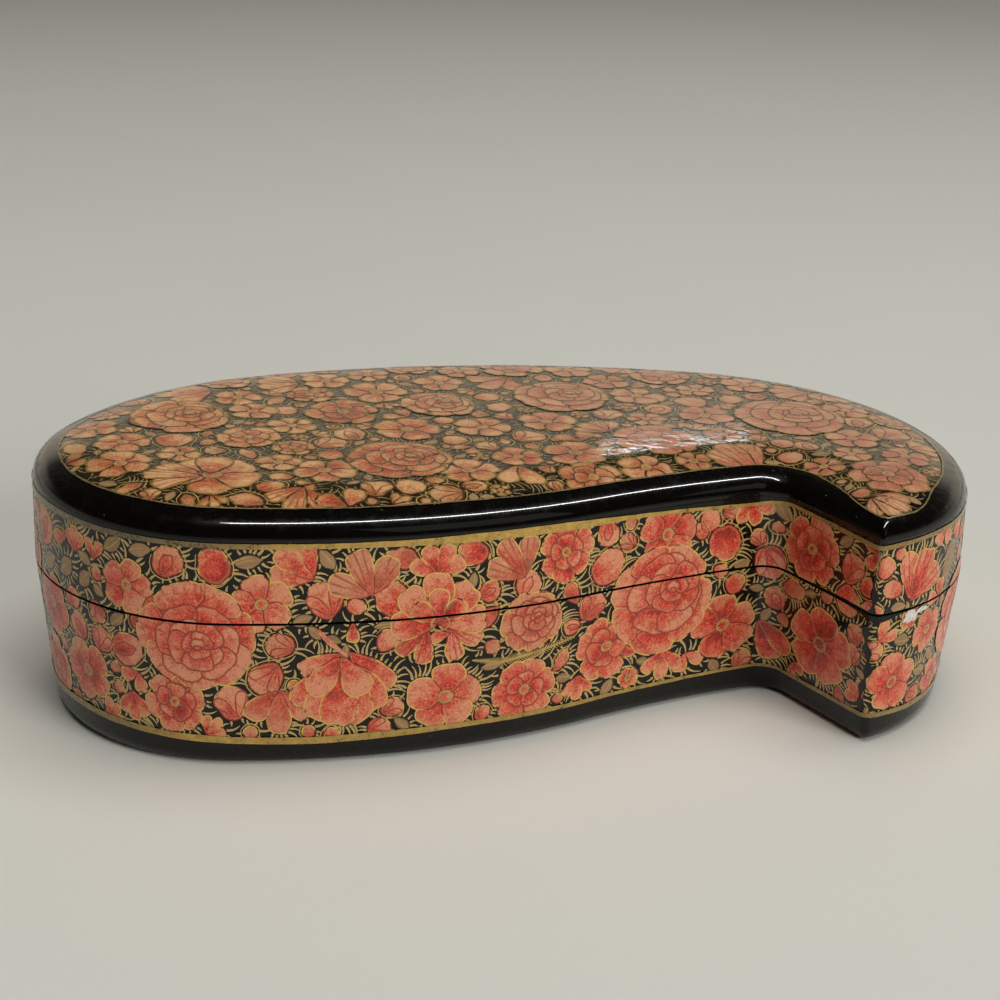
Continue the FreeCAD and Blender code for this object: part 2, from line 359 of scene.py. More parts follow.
class Sheet:
    """A flat sheet to be painted, with a grid of cells that says what is covered."""

    CELL = 0.125

    def __init__(self, low, high, wraps, room, seed):
        self.low, self.high, self.wraps = np.array(low, float), np.array(high, float), wraps
        self.shape = tuple(np.ceil((self.high - self.low) / self.CELL).astype(int))
        axes = [self.low[k] + (np.arange(self.shape[k]) + 0.5) * self.CELL for k in (0, 1)]
        self.places = np.stack(np.meshgrid(*axes, indexing="ij"), -1)
        self.room = room(self.places)
        self.covered = np.zeros(self.shape, bool)
        self.free = self.room.copy()
        self.petals, self.leaves, self.gold, self.chips = Paint(), Paint(), Paint(), Paint()
        self.rng = np.random.default_rng(seed)
        self.laid = 0

    def window(self, centre, reach):
        """Rows and columns of the cells within a reach of a place, the rows wrapped if the sheet wraps."""
        first = np.floor((np.asarray(centre) - reach - self.low) / self.CELL).astype(int)
        last = np.ceil((np.asarray(centre) + reach - self.low) / self.CELL).astype(int) + 1
        rows = np.arange(first[0], last[0])
        rows = rows % self.shape[0] if self.wraps else rows[(rows >= 0) & (rows < self.shape[0])]
        columns = np.arange(max(first[1], 0), min(last[1], self.shape[1]))
        return rows, columns

    def away(self, rows, columns, centre):
        """Steps from a centre to the cells of a window."""
        steps = self.places[np.ix_(rows, columns)] - centre
        if self.wraps:
            span = self.high[0] - self.low[0]
            steps[..., 0] = (steps[..., 0] + span / 2) % span - span / 2
        return steps

    def claim(self, centre, radius):
        """Takes a round space, so that the next flowers keep off it."""
        rows, columns = self.window(centre, radius + 10.0)
        gap = np.linalg.norm(self.away(rows, columns, centre), axis=-1) - radius
        index = np.ix_(rows, columns)
        self.free[index] = np.minimum(self.free[index], gap)

    def cover(self, centre, reach):
        """Marks the cells inside a closed rim, given as its reach from the centre at even angles."""
        rows, columns = self.window(centre, reach.max())
        steps = self.away(rows, columns, centre)
        angle = np.arctan2(steps[..., 1], steps[..., 0]) % (2 * np.pi)
        limit = np.interp(angle, np.linspace(0, 2 * np.pi, len(reach) + 1), np.append(reach, reach[0]))
        index = np.ix_(rows, columns)
        self.covered[index] |= np.linalg.norm(steps, axis=-1) < limit

    def petal(self, foot, turn, length, width, lift, look, notch=0.0, taper=0.3, point=0.0, where=None,
              ruffle=1.0):
        """One petal from its foot, outwards at an angle. Look is the last six of the marks."""
        rim = int(np.clip(np.pi * (length + width) / 2 / RIM_STEP, 14, 44))
        rings = int(np.clip(np.ceil(max(length, width) / RING_STEP), 3, 9))
        angle = np.arange(rim) * 2 * np.pi / rim
        phases = self.rng.uniform(0, 2 * np.pi, 3)
        waves = zip((0.035, 0.035, 0.025, 0.015), (2, 3, 5, 8), (*phases, phases[0]))
        wave = 1 + ruffle * sum(size * np.cos(count * angle + phase) for size, count, phase in waves)
        off_tip = np.minimum(angle, 2 * np.pi - angle)
        forward = np.cos(angle) * (1 - notch * np.exp(-(off_tip / 0.4) ** 2)) * wave
        narrowed = 1 - taper * (1 - np.cos(angle)) / 2
        across = np.sin(angle) * np.abs(np.sin(angle)) ** point * narrowed * wave
        local = np.stack([forward * length / 2, across * width / 2], 1)
        reach = np.linalg.norm(local, axis=1)
        shares = np.repeat(1 - np.arange(rings) / rings, rim)
        flat = np.vstack([np.tile(local, (rings, 1)) * shares[:, None], [[0, 0]]])
        edge = np.append((1 - shares) * np.tile(reach, rings), reach.min())
        marks = np.column_stack([flat[:, 0] / length + 0.5, flat[:, 1] * 2 / width, edge,
                                 np.broadcast_to(look, (len(flat), 6))])
        axes = np.stack([at_angle(turn), at_angle(turn + np.pi / 2)])
        centre = np.asarray(foot, float) + axes[0] * length / 2
        places = centre + flat @ axes
        (where or self.petals).add(places, lift, marks, disc(rings, rim))
        spread = places[:rim] - centre
        bearing = np.arctan2(spread[:, 1], spread[:, 0]) % (2 * np.pi)
        order = np.argsort(bearing)
        self.cover(centre, np.interp(angle, bearing[order], np.linalg.norm(spread, axis=1)[order],
                                     period=2 * np.pi))
        return places[:rim]

    def stroke(self, line, width, lift, look=PLAIN, where=None, pointed=False):
        """A brush line along points. It swells in the middle and thins out at both ends, or it starts
        broad and runs out to a point."""
        line = np.asarray(line, float)
        count = len(line)
        step = np.gradient(line, axis=0)
        side = np.stack([-step[:, 1], step[:, 0]], 1) / (np.linalg.norm(step, axis=1)[:, None] + 1e-9)
        share = np.linspace(0, 1, count)
        if pointed:
            swell = 1 - 0.75 * share ** 1.5
        else:
            swell = 0.35 + 0.65 * np.sin(np.pi * np.clip(share * 0.8 + 0.15, 0, 1))
        out = side * (width / 2 * swell)[:, None]
        marks = np.column_stack([np.tile(share, 2), np.repeat([1.0, -1.0], count),
                                 np.full(2 * count, width / 2), np.broadcast_to(look, (2 * count, 6))])
        places = np.concatenate([line + out, line - out])
        (where or self.gold).add(places, lift, marks, band(2, count, False)[:, ::-1])

    def ring(self, centre, radius, width, lift):
        """A small painted ring, a little uneven."""
        angle = np.linspace(0, 2 * np.pi, 19)
        wobble = 1 + 0.07 * np.cos(2 * angle + self.rng.uniform(0, 6))
        self.stroke(np.asarray(centre) + at_angle(angle) * (radius * wobble)[:, None], width, lift)

    def halo(self, rim, gap, width, lift):
        """A fine gold line outside a petal's rim, open at one end."""
        middle = rim.mean(0)
        out = rim - middle
        line = middle + out * (1 + gap / np.linalg.norm(out, axis=1))[:, None]
        line = np.roll(line, self.rng.integers(len(line)), axis=0)
        self.stroke(line[:int(len(line) * self.rng.uniform(0.7, 1.0))], width, lift)

    def look(self, redness, greyness=0.0, stripes=0.25, gilding=0.5):
        """A petal's own shade, near that of its flower."""
        return (self.rng.random(), np.clip(redness + self.rng.normal(0, 0.1), 0, 1),
                np.clip(greyness + self.rng.normal(0, 0.05), 0, 1), stripes, gilding, self.rng.random())

    def lift_for(self, level):
        """Each flower starts at its own lift, so that no two coats are level."""
        self.laid += 1
        return level + 0.0009 * (self.laid % 8)


def level_of(step):
    """The lift of a petal in its ring, so that petals beside each other are never level."""
    return PETAL_STEP * (step * 2 % 5)


def stamens(sheet, centre, radius, lift):
    """Fine gold strokes round a flower's eye."""
    for angle in np.arange(7) * 2 * np.pi / 7 + sheet.rng.uniform(0, 1):
        reach = radius * sheet.rng.uniform(1.1, 1.5)
        along = np.linspace(radius * 0.5, reach, 3)[:, None]
        sheet.stroke(centre + at_angle(angle) * along, 0.16, lift, pointed=True)


def eye(sheet, centre, radius, lift, redness):
    """A flower's middle: a red disc in an uneven gold ring, with stamens."""
    sheet.petal(centre - np.array([1.2 * radius, 0]), 0.0, 2.4 * radius, 2.2 * radius, lift,
                sheet.look(redness + 0.2, gilding=0.0), taper=0.0, ruffle=1.5)
    sheet.ring(centre, 0.85 * radius, 0.3, lift + PETAL_STEP)
    stamens(sheet, centre, radius, lift + PETAL_STEP)


# Count of petals, their foot, length and width as shares of the radius, added redness, looseness in turn
ROSE_RINGS = ((7, 0.47, 0.53, 0.88, 0.0, 0.1), (6, 0.26, 0.5, 0.76, 0.04, 0.14),
              (5, 0.06, 0.46, 0.62, 0.1, 0.2), (3, -0.02, 0.3, 0.46, 0.2, 0.3))


def rose(sheet, centre, radius, turn=0.0, redness=0.55, greyness=0.0, level=0.09, heart_at=(0.16, 0.16)):
    """A full rose: broad curved petals that wrap round a heart a little off the middle."""
    centre = np.asarray(centre, float)
    lift = sheet.lift_for(level)
    heart = centre + np.array(heart_at) * radius
    sheet.petal(centre - at_angle(turn) * 0.9 * radius, turn, 1.8 * radius, 1.8 * radius, lift,
                sheet.look(redness, greyness), taper=0.0, ruffle=1.5)
    for number, (count, foot, length, width, deeper, loose) in enumerate(ROSE_RINGS):
        middle = blend(centre, heart, min(number * 0.5, 1))
        for step in range(count):
            angle = turn + 0.9 * number + step * 2 * np.pi / count + sheet.rng.normal(0, loose)
            size = sheet.rng.uniform(0.9, 1.08) * radius
            sheet.petal(middle + at_angle(angle) * foot * radius, angle, length * size, width * size,
                        lift + PETAL_STEP + level_of(step),
                        sheet.look(redness + deeper, greyness, gilding=0.7 - 0.7 * min(number, 1)),
                        notch=sheet.rng.uniform(0, 0.08), taper=0.1, ruffle=1.1)
        lift += 6 * PETAL_STEP
    for size, rise, deeper in ((0.22, 0.03, -0.35), (0.12, -0.04, 0.4)):
        sheet.petal(heart + np.array([0, rise - size / 2]) * radius, np.pi / 2, size * radius,
                    size * 1.3 * radius, lift, sheet.look(redness + deeper, greyness, gilding=0.0),
                    taper=0.0, ruffle=1.6)
        lift += PETAL_STEP
    sheet.claim(centre, radius)


def blossom(sheet, centre, radius, turn=0.0, redness=0.45, greyness=0.0, level=0.045, count=5, ring=0.2):
    """An open flower of broad petals that touch, round a small eye."""
    centre = np.asarray(centre, float)
    lift = sheet.lift_for(level)
    for step in range(count):
        angle = turn + step * 2 * np.pi / count + sheet.rng.normal(0, 0.08)
        size = sheet.rng.uniform(0.92, 1.06) * radius
        sheet.petal(centre + at_angle(angle) * 0.1 * radius, angle, 0.92 * size, 5.5 / count * size,
                    lift + level_of(step),
                    sheet.look(redness, greyness, gilding=sheet.rng.choice([0.5, 1.0])),
                    notch=0.08, taper=0.35)
    lift += 5 * PETAL_STEP
    if ring:
        eye(sheet, centre, ring * radius, lift, redness)
    sheet.claim(centre, radius)


def bud(sheet, centre, radius, turn=None, redness=0.5, greyness=0.0, level=0.02):
    """A round bud, often with a redder heart or a fold on it and a fine gold line about it."""
    centre = np.asarray(centre, float)
    turn = sheet.rng.uniform(0, 2 * np.pi) if turn is None else turn
    lift = sheet.lift_for(level)
    foot = centre - at_angle(turn) * radius
    rim = sheet.petal(foot, turn, 2 * radius, 1.9 * radius, lift, sheet.look(redness - 0.05, greyness),
                      taper=0.1)
    kind = sheet.rng.integers(3)
    if radius > 1.5 and kind == 0:
        sheet.petal(foot + at_angle(turn) * 0.1 * radius, turn, 1.45 * radius, 0.85 * radius,
                    lift + PETAL_STEP, sheet.look(redness + 0.3, greyness, gilding=0.0), taper=0.2,
                    point=0.4, ruffle=1.8)
    if radius > 1.5 and kind == 1:
        for step, side in enumerate((-1, 1)):
            sheet.petal(foot + at_angle(turn) * 0.1 * radius, turn + side * 0.5, 1.62 * radius, 0.9 * radius,
                        lift + PETAL_STEP * (step + 1),
                        sheet.look(redness + 0.1 * side, greyness, gilding=0.0), taper=0.75)
    if sheet.rng.random() < 0.7:
        sheet.halo(rim, 0.3, 0.2, 0.012)
    sheet.claim(centre, radius)


def bell(sheet, apex, turn, length, spread=1.0, count=3, redness=0.5, greyness=0.0, level=0.03, stripes=0.0):
    """A flower seen from the side: petals that fan out from the apex, the outer ones lowest."""
    apex = np.asarray(apex, float)
    lift = sheet.lift_for(level)
    shares = np.linspace(-1, 1, count) if count > 1 else np.zeros(1)
    width = max(spread / count, 0.5) * 1.3 * length
    for share in shares[np.argsort(-np.abs(shares), kind="stable")]:
        sheet.petal(apex, turn + share * spread / 2, length * (1 - 0.1 * abs(share)), width, lift,
                    sheet.look(redness, greyness, stripes, 0.8), notch=0.07, taper=0.7)
        lift += PETAL_STEP
    sheet.claim(apex + at_angle(turn) * length * 0.58, length * 0.46)


def leaf(sheet, foot, turn, length, width, greyness):
    """A small pointed leaf with a gold rib."""
    foot = np.asarray(foot, float)
    lift = sheet.lift_for(0.004)
    sheet.petal(foot, turn, length, width, lift, (sheet.rng.random(), 0.0, greyness, 0.0, 1.0, 0.0),
                taper=0.0, point=0.7, where=sheet.leaves)
    bend = at_angle(turn + np.pi / 2) * 0.06 * length
    share = np.linspace(0.05, 0.85, 5)[:, None]
    rib = foot + at_angle(turn) * length * share + bend * np.sin(np.pi * share)
    sheet.stroke(rib, 0.16, lift + PETAL_STEP)
    sheet.claim(foot + at_angle(turn) * length / 2, 0.36 * (length + width) / 1.5)


def plume(sheet, line):
    """A long feathery leaf: a rib with slanting strokes along both sides."""
    line = np.asarray(line, float)
    fine = np.linspace(0, 1, 40)
    rib = np.stack([np.interp(fine, np.linspace(0, 1, len(line)), line[:, k]) for k in (0, 1)], 1)
    lift = sheet.lift_for(0.012)
    sheet.stroke(rib, 0.4, lift)
    step = np.gradient(rib, axis=0)
    for share, place, ahead in zip(fine[1:-1], rib[1:-1], step[1:-1]):
        heading = np.arctan2(ahead[1], ahead[0])
        for side in (-1, 1):
            tip = place + at_angle(heading + side * 0.8) * (1.1 * np.sin(np.pi * share) + 0.3)
            sheet.stroke(np.linspace(place, tip, 3), 0.22, lift, pointed=True)
    for place in rib[::3]:
        sheet.claim(place, 0.9)
        sheet.cover(place, np.full(8, 0.7))


def peony(sheet, centre, radius, turn=0.3, redness=0.5, greyness=0.0, level=0.062):
    """A double flower: six broad petals, five shorter and redder ones on them, and an eye."""
    centre = np.asarray(centre, float)
    lift = sheet.lift_for(level)
    sheet.petal(centre - at_angle(turn) * 0.7 * radius, turn, 1.4 * radius, 1.4 * radius, lift,
                sheet.look(redness, greyness), taper=0.0)
    for count, foot, length, width, deeper, gilding in ((6, 0.32, 0.7, 0.98, 0.0, 0.7),
                                                        (5, 0.06, 0.6, 0.76, 0.22, 0.0)):
        for step in range(count):
            angle = turn + step * 2 * np.pi / count + sheet.rng.normal(0, 0.09)
            size = sheet.rng.uniform(0.92, 1.08) * radius
            sheet.petal(centre + at_angle(angle) * foot * radius, angle, length * size, width * size,
                        lift + PETAL_STEP + level_of(step),
                        sheet.look(redness + deeper, greyness, gilding=gilding), notch=0.06, taper=0.3)
        lift += 6 * PETAL_STEP
    eye(sheet, centre, 0.16 * radius, lift, redness)
    sheet.claim(centre, radius)


def chance_flower(sheet, centre, radius):
    """One of the middling flowers, turned by chance."""
    kind = sheet.rng.integers(6)
    turn = sheet.rng.uniform(0, 2 * np.pi)
    redness = sheet.rng.uniform(0.3, 0.7)
    if kind < 3:
        blossom(sheet, centre, radius, turn, redness, count=5 + kind // 2)
    elif kind == 3:
        peony(sheet, centre, radius, turn, redness)
    else:
        bell(sheet, centre - at_angle(turn) * 0.9 * radius, turn, 1.9 * radius, 1.5, 3 + kind // 5, redness,
             stripes=float(kind == 5))
        sheet.claim(centre, radius)


def chance_bud(sheet, centre, radius):
    kind = sheet.rng.integers(6)
    turn = sheet.rng.uniform(0, 2 * np.pi)
    redness = sheet.rng.uniform(0.3, 0.75)
    if kind < 2:
        bud(sheet, centre, radius, turn, redness, sheet.rng.choice([0.0, 0.0, 0.3]))
    elif kind < 4:
        bell(sheet, centre - at_angle(turn) * radius, turn, 2 * radius, 1.3, 2 + kind % 2, redness)
        sheet.claim(centre, radius)
    elif kind == 4:
        foot = centre - at_angle(turn) * 1.15 * radius
        rim = sheet.petal(foot, turn, 2.3 * radius, 1.5 * radius, sheet.lift_for(0.02),
                          sheet.look(redness, 0.3), taper=0.2, point=0.5, ruffle=1.6)
        sheet.halo(rim, 0.3, 0.2, 0.012)
        sheet.claim(centre, radius)
    else:
        blossom(sheet, centre, radius, turn, redness, ring=0.25)


def chance_leaf(sheet, centre, radius):
    turn = sheet.rng.uniform(0, 2 * np.pi)
    if sheet.rng.random() < 0.45:
        bud(sheet, centre, radius, turn, sheet.rng.uniform(0.2, 0.5), sheet.rng.uniform(0.2, 0.6))
        return
    leaf(sheet, centre - at_angle(turn) * 1.25 * radius, turn, 2.5 * radius, 1.5 * radius,
         sheet.rng.uniform(0.3, 0.8))
    sheet.claim(centre, radius)


def fill(sheet, kind, low, high, gap, most=100000):
    """Flowers of a range of sizes go where they fit, each close to what is already there."""
    for _ in range(most):
        size = sheet.rng.uniform(low, high)
        spots = np.argwhere(sheet.free[::2, ::2] >= size + gap) * 2
        if not len(spots):
            if size < low + 0.1:
                return
            high = size
            continue
        tried = spots[sheet.rng.integers(len(spots), size=30)]
        best = tried[np.argmin(sheet.free[tried[:, 0], tried[:, 1]])]
        kind(sheet, sheet.places[best[0], best[1]], size)


NEIGHBOURS = ((1, 0), (-1, 0), (0, 1), (0, -1))


def shifted(cells, rows, columns):
    """The cells moved by whole steps, wrapped round."""
    return np.roll(np.roll(cells, rows, axis=0), columns, axis=1)


def hatch(sheet, spacing, longest, width, lift, faded=0.0):
    """Combs of short strokes fill the black gaps, from the flowers' edges outwards."""
    soft = sheet.covered.astype(np.float32)
    for _ in range(14):
        soft = sum((shifted(soft, *step) for step in NEIGHBOURS), soft) / 5
    slope = np.stack(np.gradient(soft), -1)
    beside = np.zeros_like(sheet.covered)
    for step in NEIGHBOURS:
        beside |= shifted(sheet.covered, *step)
    starts = np.argwhere(beside & ~sheet.covered & (sheet.room > 0.2))
    patch = np.floor(sheet.places[starts[:, 0], starts[:, 1]] / 3.0)
    starts = starts[np.lexsort((starts[:, 1], starts[:, 0], patch[:, 1], patch[:, 0]))]
    blocked = np.zeros_like(sheet.covered)
    reach = int(spacing / sheet.CELL)
    span = np.arange(-reach, reach + 1)
    disc = np.argwhere(span[:, None] ** 2 + span[None, :] ** 2 < reach ** 2) - reach
    for row, column in starts:
        if blocked[row, column]:
            continue
        away = -slope[row, column]
        size = np.linalg.norm(away)
        if size < 1e-4:
            continue
        start = sheet.places[row, column]
        tilt = 0.6 * np.sign(np.sin(start[0] * 0.6 + 1.7 * np.sin(start[1] * 0.35)))
        heading = np.arctan2(away[1], away[0]) + tilt
        length = 0.0
        start = start + at_angle(heading) * 0.1
        while length < longest:
            ahead = start + at_angle(heading) * (length + 0.2)
            cell = np.floor((ahead - sheet.low) / sheet.CELL).astype(int)
            cell[0] %= sheet.shape[0]
            if not 0 <= cell[1] < sheet.shape[1] or sheet.covered[cell[0], cell[1]]:
                break
            if sheet.room[cell[0], cell[1]] < 0.05 or blocked[cell[0], cell[1]] and length > 0.25:
                break
            length += 0.12
        if length < 0.75:
            continue
        bend = -0.5 * np.sign(tilt)
        share = np.linspace(0, 1, 6)
        line = start + at_angle(heading + bend * share * min(length, 1.0)) * (share * length)[:, None]
        sheet.stroke(line, width * sheet.rng.uniform(0.85, 1.15), lift,
                     (sheet.rng.random(), 1, faded, 0, 0, 0), pointed=True)
        for place in line:
            cell = np.floor((place - sheet.low) / sheet.CELL).astype(int) + disc
            cell[:, 0] %= sheet.shape[0]
            cell = cell[(cell[:, 1] >= 0) & (cell[:, 1] < sheet.shape[1])]
            blocked[cell[:, 0], cell[:, 1]] = True


# The wall's painting: places on its sheet, chosen from the photograph's visible side
WALL_LOW, WALL_HIGH = 4.7, 35.0
# Borders as knots: place along the wall, and the line's height, width or fading there
LOW_BORDER = [(-160, 4.8), (-140, 5.3), (-120, 4.6), (-100, 4.0), (-80, 4.4), (-60, 4.4), (-40, 4.6),
              (-20, 5.0), (0, 5.2), (10, 4.6), (40, 4.6)]
LOW_WIDTH = [(-140, 1.0), (-120, 1.2), (-100, 1.2), (-75, 0.9), (-60, 0.7), (-30, 0.65), (-10, 0.7),
             (20, 1.0)]
HIGH_BORDER = [(-160, 35.2), (-120, 35.4), (-75, 35.4), (-60, 35.3), (-42, 34.9), (-25, 34.5),
               (-20, 35.1), (-2, 34.7), (10, 35.1), (40, 35.2)]
HIGH_WIDTH = [(-140, 0.9), (-120, 0.7), (-95, 0.8), (-75, 1.3), (-58, 1.3), (-50, 0.7), (-25, 0.5),
              (-10, 0.8), (20, 0.8)]
LOW_FADING = [(-160, 0.4), (-130, 0.5), (-118, 0.1), (-60, 0.3), (-30, 0.3), (-20, 0.5), (0, 0.6), (30, 0.4)]
HIGH_FADING = [(-160, 0.5), (-128, 0.9), (-112, 0.7), (-104, 0.1), (-58, 0.0), (-30, 0.2), (-10, 0.6),
               (30, 0.5)]
TOP_MARGIN, TOP_LINE = 4.6, 4.45


def top_margin(places, margin):
    """The band's width between the lid's outline and the flowers, less towards the beak's tip."""
    away = np.linalg.norm(places - TIP - (2.5, 1.5), axis=-1)
    return margin - 2.3 * np.exp(-((away - 4.0) / 7.0).clip(0) ** 2)


def lay(sheet, kind, *flowers):
    """Flowers of one kind, each given by its place (two numbers) and then by what the kind takes."""
    for x, y, *numbers in flowers:
        kind(sheet, (x, y), *numbers)


def paint_wall():
    """The wall's flowers: the large ones where the photograph shows them, and then what fills the gaps."""
    sheet = Sheet((-ROUND / 2, 3.0), (ROUND / 2, 36.5), True,
                  lambda places: np.minimum(places[..., 1] - WALL_LOW, WALL_HIGH - places[..., 1]) + 0.6, 11)
    up, down = np.pi / 2, -np.pi / 2
    rose(sheet, (-116.5, 21.0), 8.8, 0.2, heart_at=(0.05, -0.12))
    rose(sheet, (-42.4, 20.0), 9.5, 0.1, 0.6, heart_at=(0.22, 0.2))
    rose(sheet, (-65.4, 20.7), 5.3, 0.4, 0.4, 0.25, level=0.07)
    lay(sheet, peony, (-120.2, 10.3, 5.0, 0.2, 0.6), (-51.6, 13.6, 6.0, 0.9, 0.55),
        (-60.0, 31.2, 4.9, 0.5, 0.6), (-14.6, 29.4, 6.2, 0.4, 0.75), (-66.0, 8.9, 5.4, 0.1, 0.6))
    lay(sheet, blossom, (-106.6, 26.6, 4.7, 0.6, 0.4), (-79.0, 9.7, 6.1, 0.25, 0.45),
        (-30.4, 13.4, 6.0, 0.5, 0.6), (-41.5, 31.2, 5.4, 0.3, 0.6), (-11.2, 13.6, 7.2, 0.2, 0.9),
        (-126.9, 27.9, 4.3, 0.1, 0.5), (-136.6, 11.8, 5.2, 0.7, 0.45), (4.9, 10.6, 5.6, 0.4, 0.5),
        (12.4, 18.2, 4.0, 0.8, 0.45))
    lay(sheet, bell, (-80.5, 22.2, up, 8.6, 3.0, 5, 0.5, 0.0, 0.09),
        (-80.5, 22.6, up, 5.6, 1.9, 3, 0.75, 0.0, 0.115))
    sheet.ring((-80.3, 22.4), 1.3, 0.32, 0.14)
    lay(sheet, bell, (-82.2, 21.4, -2.1, 6.6, 0.8, 2, 0.6, 0.0, 0.03, 1.0),
        (-78.6, 21.2, -0.95, 6.4, 0.9, 2, 0.5, 0.0, 0.03, 1.0),
        (-90.6, 27.6, 1.9, 7.6, 1.7, 3, 0.4, 0.4, 0.03, 1.0),
        (-67.0, 28.2, 2.1, 7.6, 1.3, 3, 0.6, 0.35, 0.03, 1.0), (-80.6, 30.2, up, 5.2, 2.3, 4, 0.6),
        (-99.0, 30.4, 2.45, 7.4, 1.2, 3, 0.5), (-95.0, 18.4, 3.55, 7.2, 0.5, 1, 0.5),
        (-94.0, 18.6, -0.75, 9.2, 0.5, 1, 0.5), (-94.8, 17.6, down - 0.08, 12.0, 1.25, 5, 0.85, 0.0, 0.05),
        (-95.0, 18.0, down - 0.1, 8.6, 1.1, 2, 0.4, 0.0, 0.075),
        (-104.4, 12.6, down, 7.6, 1.6, 3, 0.45, 0.3), (-24.0, 13.4, -1.0, 8.4, 0.5, 2, 0.9),
        (6.8, 25.0, 1.1, 9.4, 1.1, 3, 0.6, 0.0, 0.03, 1.0), (0.9, 18.8, 0.75, 4.6, 1.0, 2, 0.5),
        (-137.2, 30.4, up, 4.2, 1.0, 3, 0.5), (-132.9, 30.4, up, 3.8, 0.9, 2, 0.5),
        (-127.4, 10.8, down, 5.2, 1.1, 3, 0.5), (-56.4, 9.4, down, 4.6, 1.2, 3, 0.5),
        (-41.0, 10.6, down, 5.6, 1.5, 3, 0.5, 0.0, 0.04), (-26.6, 35.6, down + 0.3, 5.2, 1.3, 3, 0.4),
        (-93.4, 23.6, down, 3.6, 0.6, 1, 0.7))
    lay(sheet, bud, (-120.2, 32.4, 2.6, 1.0, 0.4), (-113.3, 32.3, 2.8, 2.0, 0.6),
        (-127.7, 17.6, 3.0, 0.3, 0.6), (-132.5, 18.0, 2.3, 1.2, 0.4), (-137.6, 18.8, 2.3, 2.2, 0.4),
        (-111.4, 10.6, 2.9, 1.9, 0.4), (-106.2, 14.6, 2.9, 4.0, 0.5), (-97.4, 27.2, 3.0, 2.0, 0.5),
        (-92.9, 26.0, 1.5, 0.0, 0.2), (-88.3, 20.2, 1.9, 1.0, 0.2), (-52.4, 27.5, 3.2, 0.8, 0.5),
        (-55.0, 21.3, 2.6, 1.0, 0.6), (-58.4, 18.4, 1.6, 3.0, 0.3), (-33.7, 32.5, 2.1, 1.0, 0.2),
        (-30.9, 28.4, 3.2, -1.4, 0.6), (-28.8, 20.9, 2.0, 1.0, 0.5), (-52.5, 33.0, 2.3, -1.5, 0.4),
        (-66.3, 27.0, 2.3, 1.0, 0.2), (-3.6, 18.6, 2.0, 1.6, 0.8), (-3.8, 15.0, 2.0, 1.6, 0.7),
        (-72.9, 5.9, 1.5, 1.0, 0.3), (-89.3, 5.4, 2.0, 0.0, 0.5), (-5.6, 29.4, 2.7, 1.2, 0.7),
        (-1.9, 27.6, 1.9, 1.0, 0.8), (-24.9, 28.6, 1.6, 2.0, 0.3), (1.4, 31.4, 2.0, 1.0, 0.4),
        (3.0, 27.6, 1.9, 3.0, 0.3), (-146.4, 31.6, 3.2, 1.0, 0.4), (-21.6, 18.0, 2.2, 2.0, 0.5),
        (-35.2, 31.0, 1.6, 2.0, 0.4), (-124.9, 22.8, 1.8, 0.4, 0.6), (-72.6, 26.6, 1.9, 0.4, 0.6),
        (-96.6, 4.8, 1.4, 0.4, 0.4))
    lay(sheet, leaf, (-110.4, 32.6, 0.2, 4.2, 2.4, 0.6), (-99.9, 23.2, -0.9, 3.0, 1.8, 0.5),
        (-90.6, 15.4, -0.7, 3.0, 1.5, 0.6), (-73.6, 13.8, 0.1, 3.6, 1.7, 0.5),
        (-136.4, 25.6, 0.8, 3.6, 2.6, 0.6), (-141.4, 26.0, 0.7, 4.4, 3.0, 0.5),
        (15.6, 25.2, 1.0, 8.6, 4.6, 0.7), (-147.0, 25.6, 0.5, 4.6, 3.0, 0.4),
        (13.6, 14.2, -0.7, 4.6, 2.2, 0.7), (-90.4, 22.6, 0.1, 3.2, 1.6, 0.6))
    plume(sheet, [(-75.0, 15.4), (-70.0, 14.4), (-64.0, 15.2), (-57.6, 16.6)])
    sheet.stroke([(-98.6, 22.6), (-96.8, 20.4), (-94.4, 18.2)], 0.9, 0.14, PLAIN, sheet.petals)
    fill(sheet, rose, 7.6, 9.0, 0.0, 9)
    fill(sheet, chance_flower, 3.8, 6.4, -0.2)
    fill(sheet, chance_bud, 1.8, 3.4, 0.1)
    fill(sheet, chance_leaf, 1.1, 1.8, 0.2)
    hatch(sheet, 0.5, 2.8, 0.4, 0.006)
    return sheet


